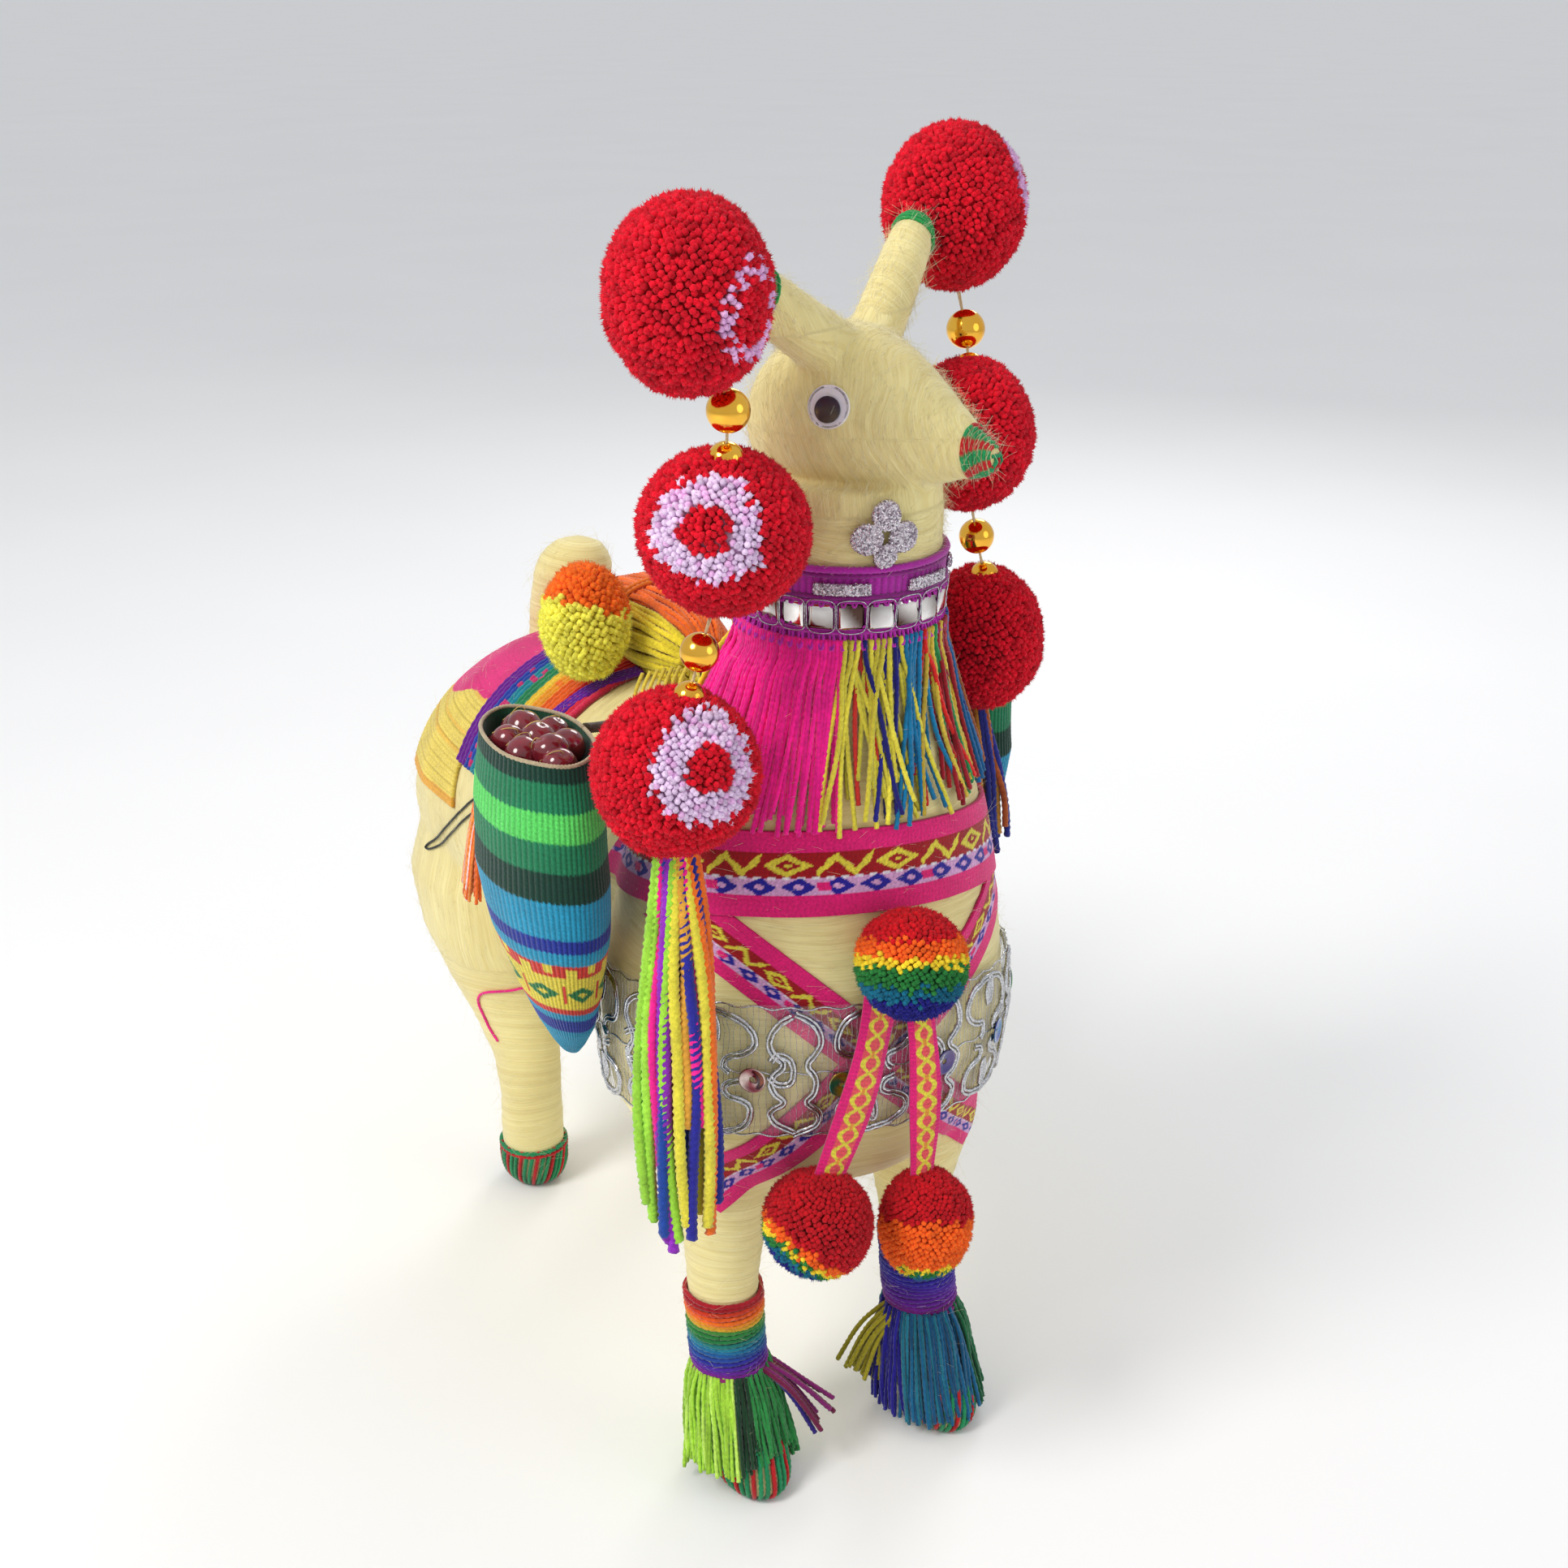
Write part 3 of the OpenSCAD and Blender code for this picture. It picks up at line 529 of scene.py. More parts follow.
def wind_coords():
    # the direction that the wool is wound in: round the trunk, the chest, the neck and each leg
    P = U(verts(body.data))
    x, y, z = P.T
    chest = np.clip((-y - 5) / 30, 0, 1)
    leg = np.clip((118 - z) / 25, 0, 1)
    tail = np.clip((z - 238) / 8, 0, 1) * (y > 100)
    rump = np.clip((y - 122 - np.abs(x) * 0.12) / 16, 0, 1)
    k = np.clip(np.maximum(np.maximum(np.maximum(chest, leg), tail), rump), 0, 1)
    along = np.where(k > 0.5, z, y)
    around = np.where(k > 0.5, np.arctan2(y + 60, x) * 60, np.arctan2(z - 180, x) * 60)
    wob = 1.6 * np.sin(x * 0.11 + z * 0.05) + 1.2 * np.sin(y * 0.09 + x * 0.07)
    set_vec(body.data, "Wind", np.stack([along + wob, around, around * 0.3], 1) * 0.001)
    P = U(verts(head.data))
    x, y, z = P.T
    r = P - HC
    t = r @ HDIR
    lt = r @ HLEFT
    up = z - 357
    isneck = z < 335
    isear = (z > 386) & (np.abs(lt) > 9)
    along = np.where(isneck, z, np.where(isear, lt * 0.75 + up * 0.65, t + 0.25 * up))
    around = np.where(isneck, np.arctan2(y + 86, x) * 28, np.arctan2(up, lt) * 24)
    wob = 0.9 * np.sin(x * 0.2 + z * 0.15) + 0.7 * np.sin(y * 0.23 + z * 0.2)
    set_vec(head.data, "Wind", np.stack([along + wob, around, around * 0.3], 1) * 0.001)


wind_coords()


def ridges(o, amp):
    """soft uneven turns of wool, as real relief"""
    me = o.data
    P, Nn = verts(me), normals(me)
    wv = np.empty(len(P) * 3, np.float32)
    me.attributes["Wind"].data.foreach_get("vector", wv)
    wv = wv.reshape(-1, 3) * 1000
    a, b = wv[:, 0], wv[:, 1]
    h = 0.5 * np.sin(a * 1.55 + 0.8 * np.sin(b * 0.07)) + 0.35 * np.sin(a * 0.83 + 1.3 * np.sin(b * 0.05 + 1)) + 0.4 * np.sin(a * 0.31 + b * 0.04)
    me.vertices.foreach_set("co", (P + Nn * (h * amp * 0.001)[:, None]).astype(np.float32).ravel())
    me.update()


ridges(body, 0.17)
ridges(head, 0.10)
for o, nn in ((body, ["torso_wrap", "front_leg_right", "front_leg_left", "rear_leg_right", "rear_leg_left", "tail_wrap"]), (head, ["head_wrap", "neck_wrap", "ear_right", "ear_left"])):
    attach(o, "llama")
    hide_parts(*nn)


def bvh_of(*objs):
    V, F, n = [], [], 0
    for o in objs:
        v = verts(o.data)
        V += [tuple(x) for x in U(v)]
        F += [tuple(i + n for i in p.vertices) for p in o.data.polygons]
        n += len(v)
    return BVHTree.FromPolygons(V, F)


SKIN = bvh_of(body, head)
BODY = bvh_of(body)
HEAD = bvh_of(head)


def cast(tree, o, d, far=400):
    h, nrm, _, _ = tree.ray_cast(Vector(o), Vector(d), far)
    return (None, None) if h is None else (np.array(h), np.array(nrm))


def around(tree, cx, cy, z, ang, g=0.0, R=130.0):
    """the point on the wool at height z, seen from the axis (cx, cy) at angle ang in degrees, lifted by g"""
    a = math.radians(ang)
    d = np.array([math.cos(a), math.sin(a), 0])
    p, n = cast(tree, np.array([cx, cy, z]) + d * R, -d)
    if p is None:
        return np.array([cx, cy, z]) + d * 30, d
    if n @ d < 0:
        n = -n
    n = n * 0.5 + d * 0.5
    n /= np.linalg.norm(n)
    return p + n * g, n


def near(tree, p):
    q, n, _, _ = tree.find_nearest(Vector(p))
    return np.array(q), np.array(n)


def fuzz(name, o, count, length, seed, zmin=-1, skip=None):
    """loose fibres that lie along the wool and stand a little off it"""
    g = np.random.default_rng(seed)
    me = o.data
    P, Nn = U(verts(me)), normals(me)
    wv = np.empty(len(P) * 3, np.float32)
    me.attributes["Wind"].data.foreach_get("vector", wv)
    idx = g.choice(len(P), count * 2, replace=True)
    mb, made = MB(), 0
    for i in idx:
        if made >= count:
            break
        p, n = P[i], Nn[i]
        if p[2] < zmin or (skip and skip(p)):
            continue
        if o is body:
            ax = np.array([0, 0, 1.0]) if (p[1] < -20 or p[2] < 110) else np.array([0, 1.0, 0])
        else:
            ax = np.array([0, 0, 1.0]) if p[2] < 335 else HDIR
        w = np.cross(n, ax)
        l = np.linalg.norm(w)
        if l < 0.2:
            continue
        w = w / l * g.choice([-1, 1]) + ax * g.normal() * 0.35
        L = length * (0.5 + g.random())
        up = 0.10 + 0.30 * g.random() ** 2
        k = np.linspace(0, 1, 5)[:, None]
        path = p - n * 0.15 + w * L * k + n * L * up * (k ** 1.5) + g.normal(size=3) * 0.35 * k ** 2 * L * 0.3
        r = 0.055 * (1 - 0.6 * k[:, 0])
        tube(mb, path, r, (1, 1, 1), 3)
        made += 1
    f = mb.obj(name, HAIR)
    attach(f, "llama")
    return f


fuzz("fuzz_head", head, 8000, 4.6, 11, 318)
fuzz("fuzz_body", body, 12000, 6.4, 12, 16)

# ---------------------------------------------------------------- pompons
GOLDEN = math.pi * (3 - math.sqrt(5))
RED = (0.74, 0.004, 0.022)
REDD = (0.55, 0.002, 0.014)
PINK = (0.84, 0.48, 0.80)
LILAC = (0.86, 0.66, 0.90)


def pompon(name, c, rad, color_of, count, bodyname, node, seed=1, fibres=5, spread=0.06, keep=None):
    """cut yarn ends all over an ellipsoid: a plump tip for each yarn with its plies splayed out of it"""
    g = np.random.default_rng(seed)
    rad = np.asarray(rad, float) + 0.9
    count = int(count * 1.5)
    i = np.arange(count) + 0.5
    z = 1 - 2 * i / count
    ph = i * GOLDEN
    D = np.stack([np.sqrt(1 - z * z) * np.cos(ph), np.sqrt(1 - z * z) * np.sin(ph), z], 1)
    D += g.normal(size=D.shape) * 0.012
    D /= np.linalg.norm(D, axis=1, keepdims=True)
    rm = rad.mean()
    pit = math.sqrt(4 * math.pi * rm * rm / count)
    mb = MB()
    # core ball, slightly smaller, so no gap shows through; its colour is darkened to 0.7 as painted shade deep between
    # the tufts
    nu, nv = 36, 18
    th = np.linspace(0, math.pi, nv + 1)[:, None]
    fi = np.arange(nu)[None, :] / nu * 2 * math.pi
    S = np.stack([np.sin(th) * np.cos(fi), np.sin(th) * np.sin(fi), np.cos(th) * np.ones_like(fi)], -1).reshape(-1, 3)
    a = (np.arange(nv)[:, None] * nu + np.arange(nu)[None, :])
    b = (np.arange(nv)[:, None] * nu + (np.arange(nu)[None, :] + 1) % nu)
    Q = np.stack([a, a + nu, b + nu, b], -1).reshape(-1, 4)
    mb.add(c + S * (rad - 2.4), Q, None, np.array([color_of(s, g) for s in S]) * 0.7)
    lump = 1 + 0.012 * np.sin(D @ g.normal(size=3) * 2.4 + 1) + 0.010 * np.sin(D @ g.normal(size=3) * 3.6 + 2)
    lump = np.minimum(lump, 1.03)
    cosw = np.cos(np.arange(6) / 6 * 2 * math.pi)
    sinw = np.sin(np.arange(6) / 6 * 2 * math.pi)
    jj = np.arange(6)
    kk = (jj + 1) % 6
    Vs, Cs, Qs, Ts, n0 = [], [], [], [], 0
    for d, lm in zip(D, lump):
        u = np.cross(d, [0.3, 0.2, 0.93])
        u /= np.linalg.norm(u)
        v = np.cross(d, u)
        col = np.asarray(color_of(d, g)) * (0.85 + 0.3 * g.random())
        top = c + d * rad * (lm - 0.045 * g.random())
        base = c + d * (rad - 3.2)
        r0 = pit * 0.60
        ring = u[None] * cosw[:, None] + v[None] * sinw[:, None]
        lean = (u * g.normal() + v * g.normal()) * spread * pit
        V = np.concatenate([base + ring * r0 * 0.75, top - d * 0.55 * pit + ring * r0 + lean * 0.6, top - d * 0.12 * pit + ring * r0 * 0.72 + lean, [top + lean]])
        Vs.append(V)
        # painted shade and highlight: each tuft's colour goes from 0.7 at its buried base through 0.92 to 1.05 at its
        # tip
        Cs.append(np.concatenate([np.tile(col * 0.7, (6, 1)), np.tile(col * 0.92, (6, 1)), np.tile(col, (6, 1)), [col * 1.05]]))
        for q in (0, 6):
            Qs.append(np.stack([q + jj, q + kk, q + 6 + kk, q + 6 + jj], 1) + n0)
        Ts.append(np.stack([12 + jj, 12 + kk, np.full(6, 18)], 1) + n0)
        n0 += 19
        for _ in range(fibres):
            a0 = g.random() * 6.28
            q = u * math.cos(a0) + v * math.sin(a0)
            s0 = top - d * 0.5 * pit + q * r0 * 0.55 * g.random()
            tip = s0 + d * pit * (0.62 + 0.4 * g.random()) + q * pit * 0.35 * g.random() + lean
            w = pit * 0.13
            q2 = np.cross(d, q)
            Vs.append(np.array([s0 + q * w, s0 - q * w * 0.5 + q2 * w, s0 - q * w * 0.5 - q2 * w, tip]))
            cc = col * (0.85 + 0.4 * g.random())
            # painted shade and highlight: each fibre is darker (0.8) at its root and lighter (1.15) at its tip
            Cs.append(np.array([cc * 0.8] * 3 + [cc * 1.15]))
            Ts.append(np.array([[0, 1, 3], [1, 2, 3], [2, 0, 3]]) + n0)
            n0 += 4
    mb.add(np.concatenate(Vs), np.concatenate(Qs), np.concatenate(Ts), np.minimum(np.concatenate(Cs), 1.0))
    o = mb.obj(name, POM)
    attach(o, bodyname)
    if node:
        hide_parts(node)
    return o


def unit(v):
    v = np.asarray(v, float)
    return v / np.linalg.norm(v)


def ring_pattern(axis, r_in, r_out, pink=LILAC, sq=1.0, mix=1.0):
    """a pink ring with a red middle, worked into the face that looks along axis"""
    ax = unit(axis)
    e1 = unit(np.cross(ax, [0, 0, 1.0]))
    e2 = np.cross(ax, e1)

    def f(d, g):
        cc = d @ ax
        if cc > 0:
            a, b = d @ e1, d @ e2
            ang = math.degrees(math.atan2(math.hypot(a, b * sq), cc))
            w = 1 + 0.05 * math.sin(math.atan2(b, a) * 3 + 1) + 0.06 * g.normal()
            if r_in * w < ang < r_out * w and g.random() < mix:
                m = g.random()
                return np.array(pink) * (0.92 + 0.1 * m) if m < 0.75 else np.array(PINK)
        return RED if g.random() < 0.8 else REDD
    return f


def bands(stops, tilt=(0, 0, 1)):
    """yarn colours in layers along tilt: stops are (lowest height from -1 to 1, colour)"""
    ax = unit(tilt)

    def f(d, g):
        h = d @ ax + 0.05 * g.normal()
        c = stops[0][1]
        for s, col in stops:
            if h >= s:
                c = col
        return c
    return f


CAMP = U(np.array(cam.matrix_world.translation))
ORA, YEL, GRN, TEA, NAV, LIM, PUR = (0.95, 0.14, 0.012), (0.93, 0.68, 0.03), (0.02, 0.20, 0.04), (0.005, 0.14, 0.24), (0.012, 0.012, 0.22), (0.42, 0.86, 0.06), (0.12, 0.01, 0.26)
SKY, HOT, DKR, WHT, BLK, LILC = (0.02, 0.34, 0.62), (0.96, 0.010, 0.30), (0.30, 0.003, 0.012), (0.85, 0.83, 0.8), (0.01, 0.01, 0.012), (0.62, 0.36, 0.66)

EPR, EPL = np.array([-66, -120, 401.0]), np.array([56, -50, 410.0])
UPR, LPR = np.array([-53.5, -113, 336.7]), np.array([-68.3, -111.3, 269.5])
UPL, LPL = np.array([48, -74, 345.5]), np.array([61, -66, 277.0])

pompon("ear_pompon_right_yarn", EPR, (21.3, 21.3, 24.8), ring_pattern((0.45, -0.82, -0.12), 19, 31, PINK, 1.0, 0.68), 1500, "llama", "ear_pompon_right", 21)
pompon("ear_pompon_left_yarn", EPL, (21.3, 21.3, 24.8), ring_pattern((0.99, -0.30, 0.35), 17, 34, PINK), 1500, "llama", "ear_pompon_left", 22)
pompon("upper_pompon_right_yarn", UPR, (23, 23, 23), ring_pattern(unit(CAMP - UPR) * 0.94 + np.array([-0.2, 0.08, 0.02]), 19, 43, LILAC, 1.2), 1650, "upper_drop_right", "upper_pompon_right", 23)
pompon("lower_pompon_right_yarn", LPR, (23.6, 23.6, 23.6), ring_pattern(unit(CAMP - LPR) + np.array([0.42, -0.18, 0.02]), 17, 42), 1700, "lower_drop_right", "lower_pompon_right", 24)
pompon("upper_pompon_left_yarn", UPL, (19.2, 22, 23), ring_pattern((1, 0.35, 0.1), 17, 38), 1500, "upper_drop_left", "upper_pompon_left", 25)
pompon("lower_pompon_left_yarn", LPL, (18.8, 22, 23), ring_pattern((1, 0.4, 0), 17, 38), 1450, "lower_drop_left", "lower_pompon_left", 26)
RAINB = [(-1, NAV), (-0.63, TEA), (-0.35, GRN), (-0.02, YEL), (0.16, ORA), (0.49, (0.62, 0.006, 0.014))]
pompon("chest_pompon_yarn", np.array([-4, -134.6, 205]), (16.3, 16.3, 16.3), bands(RAINB, CU), 1000, "llama", "chest_pompon", 27)
pompon("strap_pompon_right_yarn", np.array([-30, -126, 118]), (16.8, 16.8, 16.8), bands([(-1, NAV), (-0.88, TEA), (-0.74, GRN), (-0.61, YEL), (-0.53, ORA), (-0.36, (0.52, 0.006, 0.014))], np.array(CR) * 0.6 + np.array(CU) * 0.8), 1000, "hanging_strap_right", "strap_pompon_right", 28)
pompon("strap_pompon_left_yarn", np.array([8, -127.5, 107]), (14.6, 14.6, 18.7), bands([(-1, TEA), (-0.93, GRN), (-0.85, YEL), (-0.74, ORA), (0.08, (0.55, 0.006, 0.014))], CU), 950, "hanging_strap_left", "strap_pompon_left", 29)
pompon("saddle_pompon_yarn", np.array([-31, 46, 264.0]), (15.4, 15.4, 20.6), bands([(-1, (0.92, 0.86, 0.10)), (0.30, (1.0, 0.16, 0.012))], (0.25, 0.1, 0.95)), 480, "llama", "saddle_pompon", 30, 5, 0.12)


# ---------------------------------------------------------------- beads and threads
def bead(mb, c, r, up=(0, 0, 1)):
    ax = unit(up)
    e1 = unit(np.cross(ax, [0.31, 0.9, 0.2]))
    e2 = np.cross(ax, e1)
    n, m = 40, 26
    lat = np.linspace(-math.pi / 2 * 0.94, math.pi / 2 * 0.94, m)
    prof_r = np.cos(lat) * (1 + 0.012 * np.exp(-(lat / 0.035) ** 2))
    prof_z = np.sin(lat)
    prof_r = np.concatenate([[0.05], [0.075], prof_r, [0.075], [0.05]]) * r
    prof_z = np.concatenate([[-0.90], [-0.975], prof_z, [0.975], [0.90]]) * r
    th = np.arange(n) / n * 2 * math.pi
    V = c + prof_z[:, None, None] * ax + prof_r[:, None, None] * (np.cos(th)[None, :, None] * e1 + np.sin(th)[None, :, None] * e2)
    k = len(prof_r)
    V = V.reshape(-1, 3)
    i = np.arange(k - 1)[:, None] * n
    j = np.arange(n)[None, :]
    q = (j + 1) % n
    Q = np.stack([i + j, i + q, i + n + q, i + n + j], -1).reshape(-1, 4)
    a, b = len(V), len(V) + 1
    V = np.concatenate([V, [c + ax * prof_z[0]], [c + ax * prof_z[-1]]])
    jj = np.arange(n)
    T = np.concatenate([np.stack([np.full(n, a), (jj + 1) % n, jj], 1), np.stack([np.full(n, b), (k - 1) * n + jj, (k - 1) * n + (jj + 1) % n], 1)])
    mb.add(V, Q, T)


DR = np.array([[-57, -121, 378], [-55, -120, 370.8], [-54.2, -116.6, 357], [-53.5, -113, 336.7], [-57, -112, 313.5], [-60.6, -112, 303.5], [-64, -112.0, 290.8], [-68.3, -111.3, 269.5], [-68.5, -111.3, 246]], float)
DL = np.array([[53.5, -58, 385.5], [52, -65, 375.5], [50.2, -70.6, 364.4], [48, -74, 345.5], [53, -70, 322.5], [57, -67.5, 311], [60.2, -68.0, 297.6], [61, -66, 277], [61, -66, 253.5]], float)
for side, D in (("right", DR), ("left", DL)):
    for part, i, d in (("upper", 0, 11.8), ("lower", 4, 11.1)):
        mb = MB()
        bead(mb, D[i + 1], d / 2, D[i] - D[i + 2])
        bead(mb, D[i + 2], d * 0.43, D[i] - D[i + 2])
        o = mb.obj(f"{part}_gold_beads_{side}", GOLD)
        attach(o, f"{part}_drop_{side}")
        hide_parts(f"{part}_beads_{side}")
        mt = MB()
        for s in (-0.35, 0.35):
            tube(mt, resample(np.array([D[i] + [s, 0, 0], D[i + 1] + [0, s * 0.3, 0], D[i + 2] + [s, 0, 0]]), 0.5), 0.3, (0.75, 0.6, 0.35), 6, 2, 1.6)
        o = mt.obj(f"{part}_bead_thread_{side}", THREAD)
        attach(o, f"{part}_drop_{side}")


# ---------------------------------------------------------------- cloth patches that lie on the wool
def upsample(G, fu, fv):
    """Catmull-Rom refinement of a grid of points"""
    def one(A, f):
        if f == 1:
            return A
        A = np.moveaxis(A, 0, 0)
        n = len(A)
        t = np.linspace(0, n - 1, (n - 1) * f + 1)
        i = np.minimum(t.astype(int), n - 2)
        x = (t - i).reshape((-1,) + (1,) * (A.ndim - 1))
        p0, p1, p2, p3 = A[np.maximum(i - 1, 0)], A[i], A[i + 1], A[np.minimum(i + 2, n - 1)]
        return 0.5 * (2 * p1 + (p2 - p0) * x + (2 * p0 - 5 * p1 + 4 * p2 - p3) * x * x + (3 * p1 - p0 - 3 * p2 + p3) * x ** 3)
    G = one(G, fu)
    return np.swapaxes(one(np.swapaxes(G, 0, 1), fv), 0, 1)


def smooth_grid(G, it):
    for _ in range(it):
        H = G.copy()
        H[1:-1] = (G[:-2] + 2 * G[1:-1] + G[2:]) / 4
        G = H.copy()
        G[:, 1:-1] = (H[:, :-2] + 2 * H[:, 1:-1] + H[:, 2:]) / 4
    return G


def patch(name, P, Nn, mat, hfun, cfun, bodyname="llama", replaces=(), fu=3, fv=3, thick=1.0, sm=2, mask=None):
    """a cloth from a coarse grid of surface points and outward normals; hfun and cfun take length and width in mm"""
    P, Nn = smooth_grid(P, sm), smooth_grid(Nn, sm)
    s = np.concatenate([[0], np.cumsum(np.linalg.norm(np.diff(P, axis=0), axis=2).mean(1))])
    v = np.concatenate([[0], np.cumsum(np.linalg.norm(np.diff(P, axis=1), axis=2).mean(0))])
    Pf, Nf = upsample(P, fu, fv), upsample(Nn, fu, fv)
    Nf /= np.linalg.norm(Nf, axis=2, keepdims=True) + 1e-9
    sf = np.interp(np.linspace(0, len(s) - 1, Pf.shape[0]), np.arange(len(s)), s)
    vf = np.interp(np.linspace(0, len(v) - 1, Pf.shape[1]), np.arange(len(v)), v)
    S, Vv = np.meshgrid(sf, vf, indexing="ij")
    H = hfun(S, Vv)
    C = cfun(S, Vv)
    nu, nv = S.shape
    top = Pf + Nf * H[..., None]
    bot = Pf - Nf * thick
    ok = np.ones((nu, nv), bool) if mask is None else mask(Pf)
    idx = np.arange(nu * nv).reshape(nu, nv)
    cell = ok[:-1, :-1] & ok[1:, :-1] & ok[1:, 1:] & ok[:-1, 1:]
    q = np.stack([idx[:-1, :-1], idx[1:, :-1], idx[1:, 1:], idx[:-1, 1:]], -1)[cell]
    n1 = np.cross(Pf[1, 0] - Pf[0, 0], Pf[0, 1] - Pf[0, 0])
    mid = (nu // 2, nv // 2)
    n1 = np.cross(Pf[mid[0] + 1, mid[1]] - Pf[mid], Pf[mid[0], mid[1] + 1] - Pf[mid])
    if n1 @ Nf[mid] < 0:
        q = q[:, ::-1]
    b = q[:, ::-1] + nu * nv
    # rim: edges that only one cell uses
    e = np.concatenate([q[:, [0, 1]], q[:, [1, 2]], q[:, [2, 3]], q[:, [3, 0]]])
    key = np.sort(e, 1)
    _, inv, cnt = np.unique(key[:, 0] * (nu * nv) + key[:, 1], return_inverse=True, return_counts=True)
    e = e[cnt[inv] == 1]
    rim = np.stack([e[:, 1], e[:, 0], e[:, 0] + nu * nv, e[:, 1] + nu * nv], 1)
    used = np.unique(np.concatenate([q.ravel(), b.ravel()]))
    remap = np.full(2 * nu * nv, -1)
    remap[used] = np.arange(len(used))
    V = np.concatenate([top.reshape(-1, 3), bot.reshape(-1, 3)])[used]
    # painted shade: the underside's copy of each colour is darkened to 0.7
    colours_with_painted_underside_shade = np.concatenate([C.reshape(-1, 3), C.reshape(-1, 3) * 0.7])[used]
    mb = MB()
    mb.add(V, remap[np.concatenate([q, b, rim])], None, colours_with_painted_underside_shade)
    o = mb.obj(name, mat)
    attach(o, bodyname)
    if replaces:
        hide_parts(*replaces)
    o["flat_l"], o["flat_w"] = float(s[-1]), float(v[-1])
    area = float(np.linalg.norm(np.cross(Pf[1:, :-1] - Pf[:-1, :-1], Pf[:-1, 1:] - Pf[:-1, :-1]), axis=2)[cell].sum())
    o["flat_a"] = area
    return o


def declare_sheet(o):
    w, l, a = o["flat_w"] / 1000, o["flat_l"] / 1000, o["flat_a"] / 1e6
    w = max(w, 0.0101)
    for k in ("flat_l", "flat_w", "flat_a"):
        del o[k]


def mixc(a, b, m):
    return np.asarray(a) * (1 - m[..., None]) + np.asarray(b) * m[..., None]


PINKB, REDB, YELB, NAVB, LILB = (0.88, 0.012, 0.20), (0.40, 0.004, 0.010), (0.88, 0.76, 0.06), (0.018, 0.012, 0.34), (0.78, 0.42, 0.72)


def motif(S, V, w, flip=1):
    """the woven figure across a band of width w"""
    x = (V / w - 0.5) * 20 * flip
    S = S + 0.25 * np.sin(x * 2.1)
    C = np.broadcast_to(np.array(PINKB), S.shape + (3,)).copy()
    vc = 2.35
    inn = (x > -0.55) & (x < 5.3)
    C[inn] = REDB
    p = 25.0
    m = np.mod(S, p)
    zig = np.abs(x - vc - (2.0 - np.abs(np.mod(m / 4.2, 2) - 1) * 4.0)) < 0.95
    d = np.abs((m - 18.5) / 5.6) + np.abs((x - vc) / 2.75)
    dia = ((d < 1.0) & (d > 0.52)) | (d < 0.2)
    C[inn & np.where(m < 12.6, zig, dia)] = YELB
    in2 = (x > -4.9) & (x <= -0.55)
    C[in2] = LILB
    edge = (np.abs(x + 0.75) < 0.35)
    C[edge & (np.mod(S, 3.2) < 1.7)] = (0.9, 0.86, 0.9)
    m2 = np.mod(S + 2, 8.6)
    d2 = np.abs((m2 - 4.3) / 3.9) + np.abs((x + 2.75) / 2.25)
    C[in2 & (d2 < 1.0) & (d2 > 0.36)] = NAVB
    C[in2 & (np.mod(S, 25) < 3.0) & (np.abs(x + 2.75) < 0.9)] = PINKB
    # painted shade: the colour darkens to 0.82 between the woven rows and is full on their crests, like the relief that
    # weave() raises; jit is a small change of tone
    painted_row_shade = 0.82 + 0.18 * np.abs(np.sin(S * math.pi / 1.25))
    jit = 1 + 0.05 * np.sin(S * 5.1 + x * 3.7) * np.sin(x * 7.3)
    return C * (painted_row_shade * jit)[..., None]


def weave(S, V):
    return 0.55 + 0.16 * np.abs(np.sin(S * math.pi / 1.25)) + 0.06 * np.sin(V * math.pi / 0.75)


def slab_grid(zfun, a0, a1, v0, v1, g, tree=None, cx=0.0, cy=-60.0, da=2.4, dv=2.4):
    """grid round the trunk: heights follow the tilted plane zfun(x, y) + v"""
    A = np.linspace(a0, a1, int(abs(a1 - a0) / da) + 2)
    Vs = np.linspace(v0, v1, max(3, int(abs(v1 - v0) / dv) + 2))
    P = np.zeros((len(A), len(Vs), 3))
    Nn = np.zeros_like(P)
    for i, a in enumerate(A):
        for j, v in enumerate(Vs):
            r = math.radians(a)
            x, y = cx + 60 * math.cos(r), cy + 60 * math.sin(r)
            for _ in range(2):
                p, n = around(tree or BODY, cx, cy, zfun(x, y) + v, a, g)
                x, y = p[0], p[1]
            P[i, j], Nn[i, j] = p, n
    return P, Nn


zchest = lambda x, y: 207 - 0.065 * x - 0.184 * y
zlace = lambda x, y: 152 - 0.0787 * x - 0.0878 * y

P, Nn = slab_grid(zchest, -214, 34, -13.4, 13.4, 1.15)
chest_band = patch("chest_band_cloth", P, Nn, CLOTH, weave, lambda S, V: motif(S * 0.74, V, 27.0), replaces=["chest_band"], fu=5, fv=5, thick=0.7)
declare_sheet(chest_band)


def front_grid(pts, w, g, step=2.4):
    """grid of a strap seen from the front, laid on the chest along Y"""
    C = resample(smooth_path([(x, 0, z) for x, z in pts], 2), step)
    t = np.gradient(C, axis=0)
    t /= np.linalg.norm(t, axis=1, keepdims=True)
    nrm = np.stack([-t[:, 2], 0 * t[:, 0], t[:, 0]], 1)
    ws = np.linspace(-w / 2, w / 2, int(w / 2.2) + 2)
    P, Nn = [], []
    for c, n in zip(C, nrm):
        row, rn = [], []
        for q in ws:
            x, z = c[0] + n[0] * q, c[2] + n[2] * q
            p, m = cast(BODY, (x, -220, z), (0, 1, 0))
            if p is None or p[1] > -52:
                row.append([np.nan] * 3)
                rn.append([0, -1, 0])
            else:
                if m[1] > 0:
                    m = -m
                row.append(p + m * g)
                rn.append(m)
        P.append(row)
        Nn.append(rn)
    P, Nn = np.array(P), np.array(Nn, float)
    good = ~np.isnan(P[:, :, 0]).any(1)
    i0, i1 = np.argmax(good), len(good) - np.argmax(good[::-1])
    return P[i0:i1], Nn[i0:i1]


